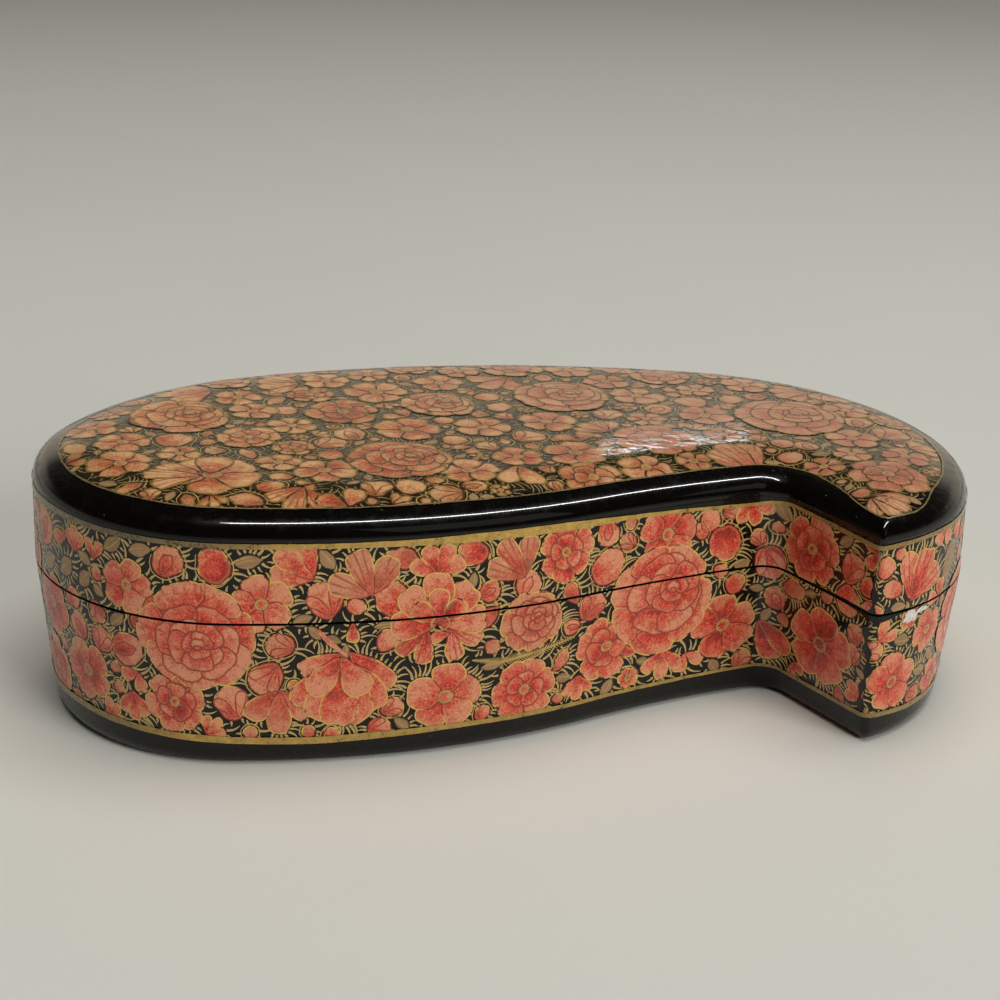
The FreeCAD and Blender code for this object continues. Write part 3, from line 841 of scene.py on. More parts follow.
def paint_top():
    """The top's flowers, laid out in plan in the same way."""
    sheet = Sheet((-76.0, -46.5), (76.0, 46.5), False,
                  lambda places: top_inset(places) - top_margin(places, TOP_MARGIN) + 0.4, 5)
    lay(sheet, rose, (-53.8, -3.6, 8.4, 0.5, 0.6), (-16.6, -19.4, 8.6, 0.2, 0.75),
        (8.8, 17.8, 8.8, 0.1, 0.55), (47.4, 12.0, 9.6, 0.3, 0.5), (-12.2, 9.6, 6.6, 0.4, 0.5))
    lay(sheet, peony, (-27.7, 3.0, 6.4, 0.4, 0.8), (-41.2, -12.4, 5.2, 0.2, 0.4),
        (23.8, -3.6, 7.0, 0.6, 0.8), (59.6, -15.2, 6.8, 0.2, 0.8), (27.0, 33.0, 5.6, 0.2, 0.5),
        (13.2, -21.6, 5.6, 0.9, 0.5))
    lay(sheet, blossom, (-16.6, -4.6, 5.6, 0.2, 0.5), (-6.0, -23.0, 5.2, 0.5, 0.4),
        (-4.4, -1.6, 5.0, 0.1, 0.35), (-60.0, -17.6, 4.6, 0.1, 0.4), (-58.4, -27.2, 5.4, 0.8, 0.4),
        (-35.0, -23.6, 4.0, 0.3, 0.35), (-27.7, -26.2, 5.2, 1.0, 0.4), (-44.0, -30.4, 7.4, 0.9, 0.45),
        (21.9, 20.0, 5.0, 0.1, 0.35), (6.0, 3.0, 5.2, 0.3, 0.4), (10.6, -12.2, 5.6, 0.3, 0.6),
        (21.6, -16.0, 4.6, 0.2, 0.4), (33.0, 10.6, 5.0, 0.9, 0.6), (56.6, 1.8, 4.8, 0.4, 0.45),
        (64.0, -6.0, 4.4, 0.4, 0.7), (-12.7, 22.0, 4.6, 0.4, 0.4), (-42.4, 1.0, 4.4, 0.3, 0.4),
        (41.8, 29.8, 4.6, 0.3, 0.35), (10.2, 34.0, 4.8, 0.6, 0.35), (-32.4, 20.0, 4.6, 0.3, 0.35),
        (58.0, 17.4, 4.4, 0.3, 0.35), (-46.0, 8.0, 4.2, 0.2, 0.4), (32.4, 25.2, 3.8, 0.2, 0.35))
    lay(sheet, bell, (-45.6, -31.0, 3.2, 9.0, 1.1, 3, 0.35, 0.0, 0.09, 1.0),
        (-44.6, -30.0, np.pi / 2, 7.6, 0.9, 1, 0.5, 0.0, 0.1),
        (-30.0, -33.6, -1.7, 7.6, 1.4, 3, 0.45, 0.0, 0.03, 1.0), (1.6, -19.6, -1.5, 8.4, 0.7, 2, 0.4),
        (39.6, -12.6, 2.15, 10.4, 0.9, 3, 0.4, 0.0, 0.03, 1.0))
    lay(sheet, bud, (-19.4, -32.2, 2.8, 1.6, 0.3), (-14.4, -30.8, 2.8, 1.4, 0.3),
        (-28.3, -13.2, 3.0, 0.8, 0.4), (-25.5, -8.4, 3.2, 2.0, 0.3), (-8.8, -8.8, 2.5, 1.0, 0.4),
        (-3.3, -11.0, 2.3, 2.4, 0.3), (-4.9, -28.8, 2.2, 0.4, 0.3), (3.0, -5.2, 3.2, 1.0, 0.4),
        (-37.2, 2.2, 2.5, 1.9, 0.3), (25.2, 13.0, 3.0, 1.0, 0.3), (31.3, 18.0, 3.2, 2.0, 0.3),
        (38.4, 20.6, 2.6, 1.0, 0.3), (44.6, -2.4, 2.4, 1.0, 0.4), (48.4, -3.2, 2.4, 2.0, 0.4),
        (45.2, -8.0, 2.4, 0.4, 0.3), (-52.6, -15.4, 3.4, 1.0, 0.5), (63.4, 5.2, 3.8, 1.0, 0.6),
        (-4.2, 15.2, 2.6, 0.4, 0.3), (-2.0, 9.8, 2.6, 1.4, 0.3), (16.4, 8.6, 3.0, 1.4, 0.3),
        (59.0, 10.8, 3.0, 1.4, 0.4))
    fill(sheet, chance_flower, 3.4, 6.0, -0.3)
    fill(sheet, chance_bud, 1.6, 3.2, -0.1)
    fill(sheet, chance_leaf, 1.0, 1.6, 0.0)
    hatch(sheet, 0.5, 2.2, 0.27, 0.006, 0.5)
    return sheet


# Shells: the walls and the lid's top as smooth closed meshes

def round_samples():
    """Places round the outline, close together where it bends tightly."""
    stretches, shares = [], []
    for stretch, length in enumerate(LENGTHS):
        step = {CORNER_STRETCH: 0.3, TIP_STRETCH: 0.18}.get(stretch, 0.75)
        count = int(np.ceil(length / step))
        stretches += [stretch] * count
        shares += list(np.arange(count) / count)
    return np.array(stretches), np.array(shares)


AROUND = round_samples()


def ring_of(inset, height, tip_radius, corner_radius):
    return leaned(outline_point(*AROUND, np.array(inset), np.array(tip_radius), np.array(corner_radius)),
                  np.full(len(AROUND[0]), float(height)))


def outer_ring(height, extra=0.0):
    inset, tip, corner = wall_section(np.array(float(height)))
    return ring_of(inset + extra, height, tip - min(extra, 0.3), corner + extra)


def inner_ring(inset, height):
    return ring_of(inset, height, INSIDE_TIP, SEAM_CORNER)


def crown_ring(inset, height):
    return ring_of(inset, height, TOP_TIP, TOP_CORNER)


def joined_rings(rings, closed):
    """Triangles between rings of points, and from the last ring to the first where they close up."""
    count = len(rings[0])
    around = np.arange(count)
    following = (around + 1) % count
    triangles = []
    for step in range(len(rings) if closed else len(rings) - 1):
        low, high = step * count, (step + 1) % len(rings) * count
        triangles += [np.stack([low + around, low + following, high + following], 1),
                      np.stack([low + around, high + following, high + around], 1)]
    return np.concatenate(rings), np.concatenate(triangles)


def base_shell_rings():
    rings = []
    for angle in np.linspace(0, np.pi / 2, 9):
        rings.append(outer_ring(FOOT_EDGE_HEIGHT * (1 - np.cos(angle))))
    for height in np.linspace(FOOT_EDGE_HEIGHT, BASE_HEIGHT - 0.12, 9)[1:]:
        rings.append(outer_ring(height))
    rings += [outer_ring(BASE_HEIGHT - 0.03, 0.05), outer_ring(BASE_HEIGHT, 0.16)]
    seat = BASE_HEIGHT - COLLAR_SEAT
    rings += [inner_ring(WALL_THICKNESS - 0.1, BASE_HEIGHT), inner_ring(WALL_THICKNESS, BASE_HEIGHT - 0.1),
              inner_ring(WALL_THICKNESS, seat)]
    rings += [inner_ring(WALL_THICKNESS + FOOT_INSET * (1 - height / seat), height)
              for height in (10.0, 5.0, 0.0)]
    return rings


def lid_wall_rings():
    rings = [outer_ring(LID_LOW, 0.16), outer_ring(LID_LOW + 0.03, 0.05)]
    rings += [outer_ring(height) for height in np.linspace(LID_LOW + 0.12, LID_HIGH, 6)]
    inside = WALL_THICKNESS - COLLAR_FIT
    return rings + [inner_ring(inside, LID_HIGH), inner_ring(inside, LID_LOW + 0.1),
                    inner_ring(inside + 0.1, LID_LOW)]


def cap(ring, upward, spacing):
    """Triangles that close a flat ring, over a grid of inner points."""
    low, high = ring[:, :2].min(0), ring[:, :2].max(0)
    xs, ys = [np.arange(low[k] + spacing, high[k], spacing) for k in (0, 1)]
    grid = np.stack(np.meshgrid(xs, ys), -1).reshape(-1, 2)
    count = len(ring)
    outline = [Vector(point[:2]) for point in ring]
    edges = [(place, (place + 1) % count) for place in range(count)]
    gaps = np.linalg.norm(grid[:, None] - ring[None, ::3, :2], axis=2).min(1)
    inner = [Vector(point) for point in grid[gaps > spacing * 0.6]]
    places, _, faces, _, _, _ = delaunay_2d_cdt(outline + inner, edges, [], 1, 1e-6)
    places = np.array([tuple(place) for place in places])
    slant = np.linalg.lstsq(np.column_stack([ring[:, :2], np.ones(count)]), ring[:, 2], rcond=None)[0]
    heights = np.column_stack([places, np.ones(len(places))]) @ slant
    faces = np.array(faces)
    return np.column_stack([places, heights]), faces if upward else faces[:, ::-1]


def lid_top_mesh():
    """Round shoulder, low dome and flat middle above, and the hollowed underside."""
    turns = np.linspace(0, SHOULDER_TURN, 19)
    insets = np.append(LID_INSET + SHOULDER_INSET * (1 - np.cos(turns)),
                       SHOULDER_EDGE + DOME_INSET * np.linspace(0, 1, 25)[1:])
    rings = [crown_ring(inset, height) for inset, height in zip(insets, top_height(insets))]
    hollow = [crown_ring(WALL_THICKNESS + CROWN_MARGIN, LID_HIGH),
              crown_ring(SHOULDER_EDGE + DOME_INSET, LID_HIGH + CROWN_RECESS)]
    under, under_triangles = joined_rings([rings[0]] + hollow, False)
    corners, faces, count = [], [], 0
    for points, triangles in (joined_rings(rings, False), (under, under_triangles[:, ::-1]),
                              cap(rings[-1], True, 1.5), cap(hollow[-1], False, 3.0)):
        corners.append(points)
        faces.append(triangles + count)
        count += len(points)
    return np.concatenate(corners), np.concatenate(faces)


def shell(name, mesh, node, body, material):
    """A closed mesh that stands for one of the frame's nodes."""
    piece = new_object(name, *mesh)
    piece.data.materials.append(material)
    piece.modifiers.new("weld", "WELD").merge_threshold = 0.002 * MM
    piece.data.set_sharp_from_angle(angle=np.radians(38))
    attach(piece, body)
    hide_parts(node)


# Materials
PAINT_COAT = 0.55


class Value:
    """A number in a node tree. Sums, differences, products and quotients of it become nodes."""

    def __init__(self, nodes, socket):
        self.nodes, self.socket = nodes, socket

    def __add__(self, other):
        return self.nodes.maths("ADD", self, other)

    def __sub__(self, other):
        return self.nodes.maths("SUBTRACT", self, other)

    def __rsub__(self, other):
        return self.nodes.maths("SUBTRACT", other, self)

    def __mul__(self, other):
        return self.nodes.maths("MULTIPLY", self, other)

    def __truediv__(self, other):
        return self.nodes.maths("DIVIDE", self, other)


class Nodes:
    """A node tree, built a node at a time."""

    def __init__(self, tree):
        self.tree = tree

    def node(self, kind, settings=None, **inputs):
        node = self.tree.nodes.new(kind)
        for key, value in (settings or {}).items():
            setattr(node, key, value)
        for name, value in inputs.items():
            self.feed(node.inputs[name.replace("_", " ")], value)
        return node

    def value(self, kind, output=0, settings=None, **inputs):
        """An output of a new node."""
        return Value(self, self.node(kind, settings, **inputs).outputs[output])

    def feed(self, socket, value):
        if isinstance(value, Value):
            self.tree.links.new(value.socket, socket)
        else:
            socket.default_value = value

    def maths(self, operation, first, second=0.0):
        node = self.node("ShaderNodeMath", {"operation": operation})
        self.feed(node.inputs[0], first)
        self.feed(node.inputs[1], second)
        return Value(self, node.outputs[0])

    def window(self, value, low, high, out_low=0.0, out_high=1.0):
        """Smooth step of a value from low to high."""
        return self.value("ShaderNodeMapRange", 0, {"interpolation_type": "SMOOTHSTEP"}, Value=value,
                          From_Min=low, From_Max=high, To_Min=out_low, To_Max=out_high)

    def split(self, vector):
        return [Value(self, socket) for socket in self.node("ShaderNodeSeparateXYZ", Vector=vector).outputs]

    def mix(self, share, first, second):
        """A blend of two colours. The numbers are where the colour sockets of this node are."""
        node = self.node("ShaderNodeMix", {"data_type": "RGBA"})
        for place, value in ((0, share), (6, first), (7, second)):
            self.feed(node.inputs[place], value)
        return Value(self, node.outputs[2])


class Recipe(Nodes):
    """A material of one Principled shader."""

    def __init__(self, name, specular, coat=0.0, coat_roughness=0.04):
        self.material = bpy.data.materials.new(name)
        self.material.use_nodes = True
        super().__init__(self.material.node_tree)
        self.shader = self.tree.nodes["Principled BSDF"].inputs
        self.shader["Specular IOR Level"].default_value = specular
        self.shader["Coat Weight"].default_value = coat
        self.shader["Coat Roughness"].default_value = coat_roughness

    def mark(self, name):
        """The three numbers of one of the mesh's marks."""
        return self.split(self.value("ShaderNodeAttribute", "Vector", {"attribute_name": name}))

    def vector(self, first, second, third):
        return self.value("ShaderNodeCombineXYZ", X=first, Y=second, Z=third)

    def space(self):
        """Places in the object, in millimetres."""
        return self.value("ShaderNodeVectorMath", 0, {"operation": "SCALE"}, Scale=1 / MM,
                          Vector=self.value("ShaderNodeTexCoord", "Object"))

    def noise(self, where, scale, detail=2.0, rough=0.5):
        return self.value("ShaderNodeTexNoise", "Fac", Vector=where, Scale=scale, Detail=detail,
                          Roughness=rough)

    def dots(self, where, scale, size, share):
        """Round dots of a size, in a share of the cells."""
        cells = self.node("ShaderNodeTexVoronoi", Vector=where, Scale=scale).outputs
        near = self.window(Value(self, cells["Distance"]), size, size * 0.6)
        chosen = self.value("ShaderNodeSeparateColor", Color=Value(self, cells["Color"]))
        return near * self.maths("LESS_THAN", chosen, share)

    def ramp(self, value, stops):
        node = self.node("ShaderNodeValToRGB", Fac=value)
        points = node.color_ramp.elements
        while len(points) < len(stops):
            points.new(0.5)
        for point, (place, colour) in zip(points, stops):
            point.position = place
            point.color = colour
        return Value(self, node.outputs["Color"])

    def bump(self, height, distance, strength, socket="Normal"):
        self.feed(self.shader[socket], self.value("ShaderNodeBump", Height=height, Strength=strength,
                                                  Distance=distance * MM))

    def done(self, colour, roughness):
        self.feed(self.shader["Base Color"], colour)
        self.feed(self.shader["Roughness"], roughness)
        return self.material


def paint(red, green, blue):
    """A colour as seen on a screen, made linear."""
    values = np.array([red, green, blue]) / 255.0
    linear = np.where(values <= 0.04045, values / 12.92, ((values + 0.055) / 1.055) ** 2.4)
    return (*[float(value) for value in linear], 1.0)


def under_lacquer(made, space, depth=0.05, streaky=True):
    """Clear lacquer over the paint, with slow waves in it, and smooth in streaks only."""
    if streaky:
        x, y, z = made.split(space)
        streaks = made.noise(made.vector(x * 0.35, y, z), 0.7, 4.0, 0.65)
        made.feed(made.shader["Coat Roughness"], made.window(streaks, 0.46, 0.62, 0.035, 0.33))
    waves = made.noise(space, 0.22) * 0.5 + made.noise(space, 1.1, 3.0, 0.6) * 0.13
    made.bump(waves, depth, 0.5, "Coat Normal")


def petal_material(name, pale, middle, deep, darkest, outline, contour, grey, rim_tint, rim_reach,
                   line=1.0, beak_tone_and_haze=None):
    """Brushed petals: mottled, paler at the rim and deeper at the foot, with contour lines and specks.
    Petals without gilding have a soft crimson rim, and the others a line that is gold in parts."""
    made = Recipe(name, 0.2, PAINT_COAT)
    along, across, edge = made.mark("petal")
    seed, redness, greyness = made.mark("tone")
    stripes, gilding, freshness = made.mark("style")
    space = made.space()
    strokes = made.noise(made.vector(across * 6.0, along * 1.6, seed * 61.0), 1.4, 3.0, 0.6)
    patches = made.noise(space, 0.55, 3.0, 0.6)
    fine = made.noise(space, 2.6, 4.0, 0.65)
    grain = made.noise(space, 3.4, 2.0, 0.7)
    depth = along * -0.95 + 0.87
    for value, size in ((redness, 0.8), (strokes, 0.5), (patches, 1.5), (fine, 1.0), (grain, 1.5),
                        (freshness, 0.3)):
        depth = depth + (value - 0.5) * size
    depth = depth + across * (seed * 0.5 - 0.25)
    colour = made.ramp(depth, [(0.0, pale), (0.33, middle), (0.66, deep), (1.0, darkest)])
    colour = made.mix(made.window(edge + (fine - 0.5) * 0.8, rim_reach, 0.1) * 0.6, colour, rim_tint)
    fan = made.maths("SINE", across / (along + 0.25) * 15.0)
    lines = made.window(fan, 0.35, 0.9) * stripes * made.window(strokes, 0.35, 0.55)
    colour = made.mix(lines * 0.75, colour, darkest)
    stipple = made.window(grain, 0.56, 0.7) * made.window(patches, 0.4, 0.6, 0.25, 0.6)
    colour = made.mix(stipple, colour, darkest)
    colour = made.mix(greyness * 0.8 + made.window(patches, 0.52, 0.75, 0.0, 0.35), colour, grey)
    # Toward the beak and the far side the petals turn dusty pink: partly their own tone, partly a painted
    # haze standing in for the lacquer's sheen there
    if beak_tone_and_haze:
        x, y, _ = made.split(space)
        colour = made.mix(made.window(x + y * 1.2, -40.0, 60.0, 0.0, 0.5), colour, beak_tone_and_haze)
    specks = made.dots(space, 1.6, 0.2, 0.35) * made.window(patches, 0.42, 0.55)
    colour = made.mix(specks * 0.75, colour, contour)
    inner = made.maths("LESS_THAN", gilding, 0.1)
    uneven = edge + (fine - 0.5) * 0.36
    colour = made.mix(made.window(uneven, 0.42, 0.14) * inner * 0.85, colour, contour)
    broken = made.window(made.noise(space, 0.7, 3.0, 0.6) + gilding * 0.3, 0.60, 0.72)
    plain_rim = made.mix(made.window(along, 0.6, 0.75) * 0.75, contour, paint(30, 14, 6))
    rim_colour = made.mix(broken * made.window(along, 0.3, 0.5), plain_rim, outline)
    colour = made.mix(made.window(uneven, 0.27 * line, 0.15 * line) * (1.0 - inner), colour, rim_colour)
    made.bump(made.window(edge, 0.0, 0.35) + (strokes + fine) * 0.4, 0.02, 0.6)
    under_lacquer(made, space)
    return made.done(colour, made.window(made.noise(space, 0.25, 3.0, 0.6), 0.3, 0.75, 0.4, 0.6))


def leaf_material(name, light, dark, outline):
    made = Recipe(name, 0.2, PAINT_COAT)
    along, across, edge = made.mark("petal")
    seed, _, greyness = made.mark("tone")
    space = made.space()
    strokes = made.noise(made.vector(across * 7.0, along, seed * 47.0), 1.5, 3.0, 0.6)
    fine = made.noise(space, 2.2, 3.0, 0.6)
    colour = made.mix(strokes * 1.8 + fine * 0.8 + greyness * 0.7 - 1.2, light, dark)
    colour = made.mix(made.window(edge + (fine - 0.5) * 0.2, 0.22, 0.12), colour, outline)
    made.bump(made.window(edge, 0.0, 0.3) + strokes * 0.4, 0.02, 0.6)
    under_lacquer(made, space)
    return made.done(colour, made.window(fine, 0.3, 0.7, 0.4, 0.55))


def gold_material():
    """Ochre gold paint: streaky, uneven, rubbed through to the black in places."""
    made = Recipe("gold_paint", 0.4, PAINT_COAT)
    along, across, _ = made.mark("petal")
    seed, creamy, faded = made.mark("tone")
    space = made.space()
    streaks = made.noise(made.vector(along * 60.0, across * 2.2, seed), 1.5, 3.0, 0.6)
    cloud = made.noise(space, 0.7, 4.0, 0.65)
    fine = made.noise(space, 3.5, 3.0, 0.6)
    colour = made.ramp((cloud + streaks) * 0.9 + seed * 0.25 - 0.6,
                       [(0.0, paint(112, 82, 32)), (0.4, paint(178, 142, 62)),
                        (0.75, paint(210, 174, 88)), (1.0, paint(236, 214, 150))])
    colour = made.mix(creamy * 0.6, colour, paint(186, 162, 112))
    colour = made.mix(faded, colour, paint(92, 80, 50))
    rubbed = made.window(fine + cloud * 0.6 - faded * 0.12, 0.65, 0.59)
    colour = made.mix(rubbed * 0.85, colour, paint(40, 28, 12))
    made.bump(cloud + fine * 0.5, 0.02, 0.6)
    under_lacquer(made, space)
    return made.done(colour, made.window(cloud, 0.3, 0.7, 0.35, 0.5))


def lacquer_material(name, dark, worn, shine, painted_haze=None):
    """Black lacquer with soft brush waves, dust specks, fine scratches and dull rubbed places. A painted
    haze, which stands in for the lacquer's sheen, tints what faces straight up."""
    made = Recipe(name, 0.08, shine, 0.035)
    space = made.space()
    fine = made.noise(space, 1.8, 4.0, 0.6)
    cloud = made.noise(space, 0.45, 4.0, 0.7)
    scratch = made.value("ShaderNodeTexWave", "Fac", {"wave_type": "BANDS", "bands_direction": "DIAGONAL"},
                         Vector=space, Scale=0.9, Distortion=14.0, Detail=4.0, Detail_Scale=1.2)
    colour = made.mix(made.window(cloud, 0.55, 0.8, 0.0, 0.5), dark, worn)
    # Painted haze: a dark olive tint where the ground faces straight up, standing in for the lacquer's sheen
    if painted_haze:
        facing = made.split(made.value("ShaderNodeTexCoord", "Normal"))[2]
        haze_mask = made.window(facing, 0.958, 0.975) * made.window(fine, 0.3, 0.7, 0.4, 1.0)
        colour = made.mix(haze_mask, colour, painted_haze)
    colour = made.mix(made.dots(space, 0.55, 0.09, 0.2) * 0.6, colour, paint(120, 112, 96))
    made.bump(made.noise(space, 0.2) * 3.0 + fine * 0.35, 0.04, 0.5)
    under_lacquer(made, space, 0.06, False)
    rough = made.window(cloud, 0.45, 0.75, 0.2, 0.45) + made.window(scratch, 0.93, 0.99, 0.0, 0.15)
    return made.done(colour, rough)


def gesso_material():
    made = Recipe("bare_gesso", 0.3)
    cloud = made.noise(made.space(), 1.6, 5.0, 0.7)
    colour = made.ramp(cloud, [(0.3, paint(150, 132, 112)), (0.5, paint(226, 220, 212)),
                               (0.75, paint(246, 243, 238))])
    made.bump(cloud, 0.25, 1.0)
    return made.done(colour, made.window(cloud, 0.3, 0.7, 0.7, 0.9))


def floor_material():
    """Pale and plain. It glows far out, beyond the lamps' reach, to meet the pale room."""
    made = Recipe("pale_floor", 0.2)
    space = made.space()
    far = made.value("ShaderNodeVectorMath", "Value", {"operation": "LENGTH"}, Vector=space)
    made.feed(made.shader["Emission Color"], (0.37, 0.36, 0.335, 1.0))
    made.feed(made.shader["Emission Strength"], made.window(far, 1200.0, 2700.0))
    cloud = made.noise(space, 0.004, 4.0, 0.6)
    colour = made.mix(cloud, paint(216, 215, 206), paint(223, 222, 214))
    return made.done(colour, made.window(cloud, 0.3, 0.7, 0.6, 0.75))


# Petals from pale to darkest, then outline, contours, dusty grey and rim
WALL_PETALS = petal_material("wall_petals", paint(222, 146, 110), paint(212, 112, 80), paint(214, 58, 42),
                             paint(146, 22, 12), paint(218, 176, 84), paint(146, 30, 18),
                             paint(156, 112, 80), paint(206, 140, 104), 0.8)
# The top's last colour is a dusty pink toward the beak and the far side, partly the petals' own tone and
# partly painted haze
TOP_PETALS = petal_material("top_petals", paint(226, 172, 118), paint(202, 136, 84), paint(196, 84, 50),
                            paint(124, 46, 18), paint(140, 106, 46), paint(66, 30, 10),
                            paint(160, 128, 84), paint(172, 134, 76), 1.3, 1.9, paint(178, 124, 102))
LEAF_PAINT = leaf_material("leaf_paint", paint(178, 138, 98), paint(124, 96, 56), paint(60, 40, 16))
GOLD_PAINT = gold_material()
GROUND = lacquer_material("black_ground", paint(6, 4, 2), paint(18, 14, 8), 0.6)
# The top's ground gets a dark olive painted haze where it faces up, standing in for the lacquer's sheen
TOP_GROUND = lacquer_material("top_ground", paint(6, 4, 2), paint(18, 14, 8), 0.6, paint(52, 42, 22))
# Inside lacquer: brush texture as on the real box, but lighter than its black. This is painted fill light,
# so that the shaded inside shows
INSIDE = lacquer_material("inside_lacquer", paint(34, 29, 24), paint(74, 62, 48), 0.35)
GESSO = gesso_material()


def wavy(along, seed, size):
    """A slow uneven wave along the wall, as of a line drawn by hand. It closes up round the box."""
    turn = along * 2 * np.pi / ROUND
    rng = np.random.default_rng(seed)
    total = np.zeros_like(turn)
    for waves in (5, 9, 16, 31, 57, 83, 127):
        total += np.sin(waves * turn + rng.uniform(0, 6.28)) / waves ** 0.5
    return size * total * 0.7


def strip(sheet, rows, seed, faded):
    """A band of gold paint through rows of places across it, faded in parts."""
    count = len(rows[0])
    marks = np.zeros((3 * count, 9))
    marks[:, 0] = np.tile(np.arange(count) / count * 8, 3)
    marks[:, 1] = np.repeat((-1, 0, 1), count)
    marks[:, 2], marks[:, 3], marks[:, 5] = 0.5, seed, np.tile(faded, 3)
    sheet.gold.add(np.concatenate(rows), BORDER_LIFT, marks, band(3, count, False))


BORDER_LIFT, CHIP_LIFT = 0.16, 0.18


def border_middle(knots, along):
    places, heights = zip(*knots)
    return np.interp(along, places, heights, period=ROUND)


def paint_border(sheet, knots, width, fading, seeds):
    """A band of gold round the wall, between two uneven lines."""
    along = np.linspace(-ROUND / 2, ROUND / 2, 1400)
    middle, width = border_middle(knots, along), border_middle(width, along)
    low, high = [np.stack([along, middle + side * width / 2 + wavy(along, seed, 0.12)], 1)
                 for side, seed in zip((-1, 1), seeds)]
    strip(sheet, [blend(low, high, share) for share in (0, 0.5, 1)], 0.6, border_middle(fading, along))


def paint_top_line(sheet):
    """The thin gold line between the black shoulder and the flowers on the top."""
    share = np.append(np.tile(np.linspace(0, 1, 60, endpoint=False), TIP_STRETCH + 1), 0.0)
    stretch = np.append(np.repeat(np.arange(TIP_STRETCH + 1), 60), 0)
    along = (STARTS[stretch] + LENGTHS[stretch] * share) - TIP_PLACE
    outline = outline_point(stretch, share, 0.0, TOP_TIP, TOP_CORNER)
    middle = top_margin(outline, TOP_LINE) + wavy(along, 8, 0.22)
    half = 0.14 + wavy(along, 9, 0.05)
    rows = [outline_point(stretch, share, middle + side * half, TOP_TIP, TOP_CORNER) for side in (-1, 0, 1)]
    strip(sheet, rows, 0.3, 0.7 + wavy(along, 10, 0.2))


def tight_lines():
    """Upright lines on the wall's sheet where it bends tightly, so that all coats bend alike there."""
    return np.concatenate([np.linspace(CORNER_FROM, CORNER_TO, 18), np.linspace(-TIP_HALF, TIP_HALF, 14)])


def lay_pieces(name, corners, triangles, place, body, slot, material, most=150000):
    """Pieces of paint of one kind, none of them too heavy for its file."""
    for number, start in enumerate(range(0, len(triangles), most), 1):
        painted_object("%s_%d" % (name, number), corners, triangles[start:start + most], place, body,
                       material)


def paint_chip(sheet):
    """Bare gesso where the paint is chipped off the base's rim, beside the beak's tip."""
    rng = np.random.default_rng(4)
    count = 40
    angle = np.arange(count) * 2 * np.pi / count
    for middle, size in (((7.0, 22.2), (1.5, 1.2)), ((9.8, 22.7), (1.6, 0.45))):
        rough = 1 + 0.12 * np.cos(3 * angle + 1) + 0.1 * np.cos(7 * angle) + rng.normal(0, 0.05, count)
        rim = middle + at_angle(angle) * size * rough[:, None]
        places = np.concatenate([blend(np.array(middle), rim, share) for share in (1.0, 0.8, 0.55, 0.3)]
                                + [[middle]])
        sheet.chips.add(places, CHIP_LIFT, np.zeros((len(places), 9)), disc(4, count))


def lay_wall(sheet):
    """The wall's paint, trimmed at the borders, divided at the seam and given to its two bodies. It is
    worn off along the beak's edge and at the rim beside it, and the seam is wider there."""
    paints = (("petals", sheet.petals, WALL_PETALS), ("leaves", sheet.leaves, LEAF_PAINT),
              ("gold", sheet.gold, GOLD_PAINT), ("chips", sheet.chips, GESSO))
    for name, painted, material in paints:
        corners, triangles = divide(*painted.joined(), tight_lines())
        for knots, side in ((LOW_BORDER, 1), (HIGH_BORDER, -1)):
            within = side * (corners[:, 1] - border_middle(knots, corners[:, 0]))
            within = np.where(corners[:, 2] == BORDER_LIFT, 1.0, within)
            corners, triangles = keep_above(corners, triangles, within)
        rim_wear = 0.06
        if name != "chips":
            along, height, lift = corners[:, :3].T
            wear = np.abs(along + 0.9 - 0.5 * np.sin(height * 0.55)) - 0.55
            wear -= 0.3 * np.sin(height * 1.9 + 1.0)
            wear = np.where((lift == BORDER_LIFT) | (height > 30), 1.0, wear)
            corners, triangles = keep_above(corners, triangles, wear)
            rim_wear = 0.06 + 1.1 * np.exp(-((corners[:, 0] - 0.5) / 4.0) ** 2)
        crack = 0.06 + 0.3 * np.exp(-((corners[:, 0] + 8.0) / 9.0) ** 2)
        for body, value in (("base", BASE_HEIGHT - rim_wear - corners[:, 1]),
                            ("lid", corners[:, 1] - LID_LOW - crack)):
            lay_pieces("%s_wall_%s" % (body, name), *keep_above(corners, triangles, value), wall_point, body,
                       "painted_wall", material)


def lay_top(sheet):
    """The top's paint, trimmed at the black shoulder."""
    paints = (("petals", sheet.petals, TOP_PETALS), ("leaves", sheet.leaves, LEAF_PAINT),
              ("gold", sheet.gold, GOLD_PAINT))
    for name, painted, material in paints:
        corners, triangles = painted.joined()
        margin = top_margin(corners[:, :2], TOP_MARGIN)
        margin = margin + 0.2 * np.sin(corners[:, 0] * 0.7) * np.sin(corners[:, 1] * 0.9 + 1.0)
        margin = np.where(corners[:, 2] == BORDER_LIFT, 0.0, margin)
        corners, triangles = keep_above(corners, triangles, top_inset(corners[:, :2]) - margin)
        lay_pieces("lid_top_%s" % name, corners, triangles, top_point, "lid", "painted_top", material)


shell("base_body", joined_rings(base_shell_rings(), True), "base_wall", "base", GROUND)
shell("lid_wall_body", joined_rings(lid_wall_rings(), True), "lid_wall", "lid", GROUND)
shell("lid_top_body", lid_top_mesh(), "lid_top", "lid", TOP_GROUND)
for node in ("base_floor", "lid_collar"):
    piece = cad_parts[node]
    piece.data.materials.clear()
    piece.data.materials.append(INSIDE)

wall = paint_wall()
paint_chip(wall)
paint_border(wall, LOW_BORDER, LOW_WIDTH, LOW_FADING, (1, 2))
paint_border(wall, HIGH_BORDER, HIGH_WIDTH, HIGH_FADING, (3, 4))
lay_wall(wall)
top = paint_top()
paint_top_line(top)
lay_top(top)


def add_light(name, place, target, energy, size, colour=(1, 1, 1)):
    """A rectangular lamp that faces its target."""
    light = bpy.data.lights.new(name, "AREA")
    light.energy, light.color, light.shape = energy, colour, "RECTANGLE"
    light.size, light.size_y = size
    lamp = bpy.data.objects.new(name, light)
    lamp.location = place
    lamp.rotation_euler = (Vector(target) - Vector(place)).to_track_quat("-Z", "Y").to_euler()
    bpy.context.scene.collection.objects.link(lamp)
    return lamp


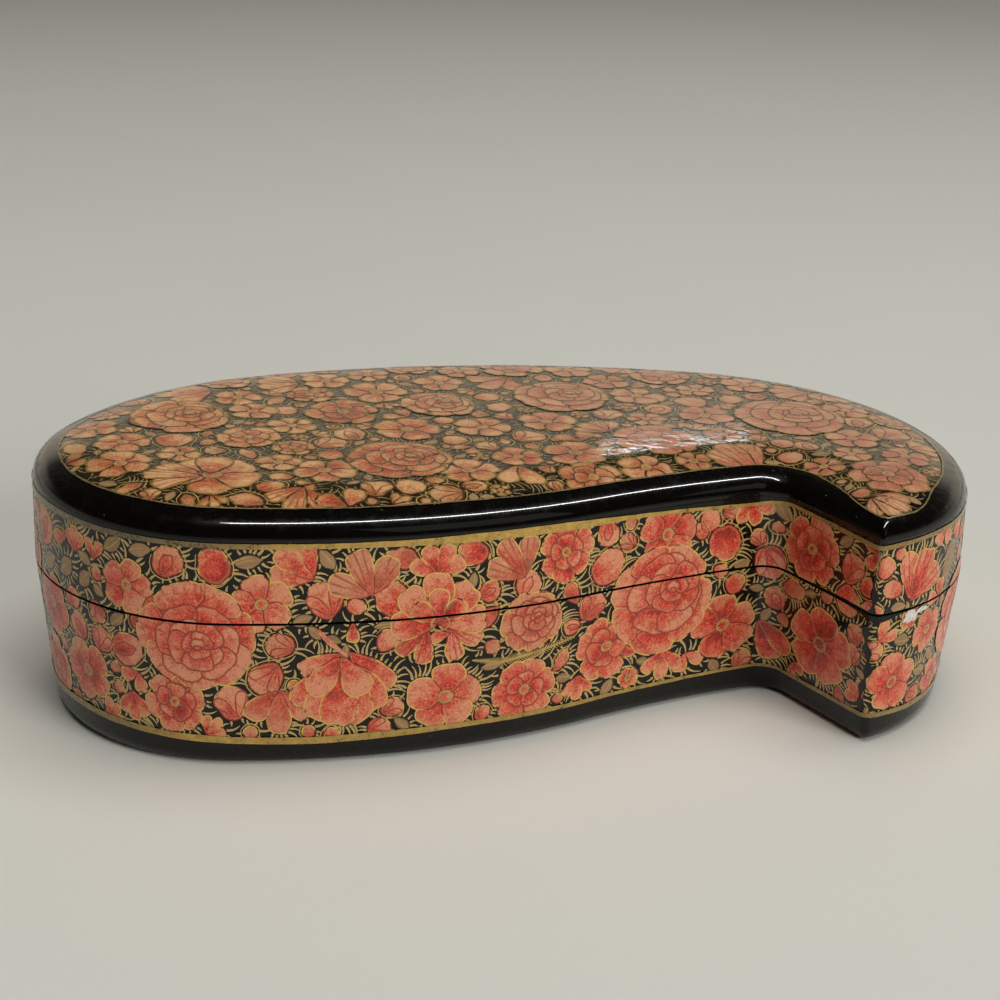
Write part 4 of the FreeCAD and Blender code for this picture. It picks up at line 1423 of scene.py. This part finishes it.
def set_stage():
    """A pale floor, a dim room that is paler behind the box, soft lamps, and lamps for the highlights."""
    reach = 3.0
    floor = new_object("floor", np.array([(-1, -1, 0), (1, -1, 0), (1, 1, 0), (-1, 1, 0)]) * reach / MM,
                       np.array([(0, 1, 2), (0, 2, 3)]))
    floor.data.materials.append(floor_material())

    world = bpy.data.worlds.new("soft_room")
    world.use_nodes = True
    made = Nodes(world.node_tree)
    _, y, z = made.split(made.value("ShaderNodeTexCoord", "Generated"))
    room = made.mix(made.window(z, 0.2, 0.02), (0.022, 0.022, 0.021, 1), (0.42, 0.41, 0.38, 1))
    far_wall = made.window(y, 0.3, 0.9) * made.window(z, 0.385, 0.26)
    room = made.mix(far_wall, room, (0.74, 0.66, 0.52, 1))
    made.feed(world.node_tree.nodes["Background"].inputs["Color"], room)
    bpy.context.scene.world = world
    bpy.context.scene.view_settings.view_transform = "Standard"

    middle = (0, 0, 0.02)
    for name, place, target, energy, size, colour in (
            ("soft_overhead", (0.15, -0.1, 1.4), (0, 0, 0), 13.5, (1.4, 1.2), (1.0, 1.0, 0.98)),
            ("soft_front", (1.15, -1.15, 0.75), middle, 16.3, (0.9, 0.7), (1.0, 0.99, 0.965))):
        add_light(name, place, target, energy, size, colour).visible_glossy = False
    ceiling = add_light("ceiling_lamp", (0.345, 0.083, 1.25), (0, 0, 0), 15.0, (1.12, 0.065))
    ceiling.rotation_euler = (0, 0, np.radians(32))
    glow = add_light("window_glow", (0.9, -0.9, 1.0), middle, 0.8, (0.9, 0.7))
    behind = add_light("window_behind", (0.235, 2.0, 0.71), (0.02, 0, 0.04), 0.075, (0.19, 0.011))
    behind.rotation_euler.rotate_axis("Z", np.radians(10))
    for lamp in (ceiling, glow, behind):
        lamp.visible_diffuse = False


def set_camera():
    """The photograph's viewpoint, fitted to the box's outline in it."""
    place = Vector((1.2, -289.4, 135.3)) * MM
    yaw, pitch, roll = np.radians((0.50, 20.43, 1.42))
    focal_pixels, picture_pixels, sensor = 1850.0, 1000.0, 36.0
    right = np.array([np.cos(yaw), np.sin(yaw), 0])
    level = np.array([-np.sin(yaw), np.cos(yaw), 0])
    ahead = level * np.cos(pitch) - np.array([0, 0, np.sin(pitch)])
    up = level * np.sin(pitch) + np.array([0, 0, np.cos(pitch)])
    across = np.cos(roll) * right + np.sin(roll) * up
    upright = -np.sin(roll) * right + np.cos(roll) * up
    lens = bpy.data.cameras.new("camera")
    lens.sensor_width = sensor
    lens.lens = sensor * focal_pixels / picture_pixels
    lens.clip_start, lens.clip_end = 0.01, 20.0
    camera = bpy.data.objects.new("camera", lens)
    turned = Matrix(np.column_stack([across, upright, -ahead])).to_4x4()
    camera.matrix_world = Matrix.Translation(place) @ turned
    bpy.context.scene.collection.objects.link(camera)
    bpy.context.scene.camera = camera


set_stage()
set_camera()
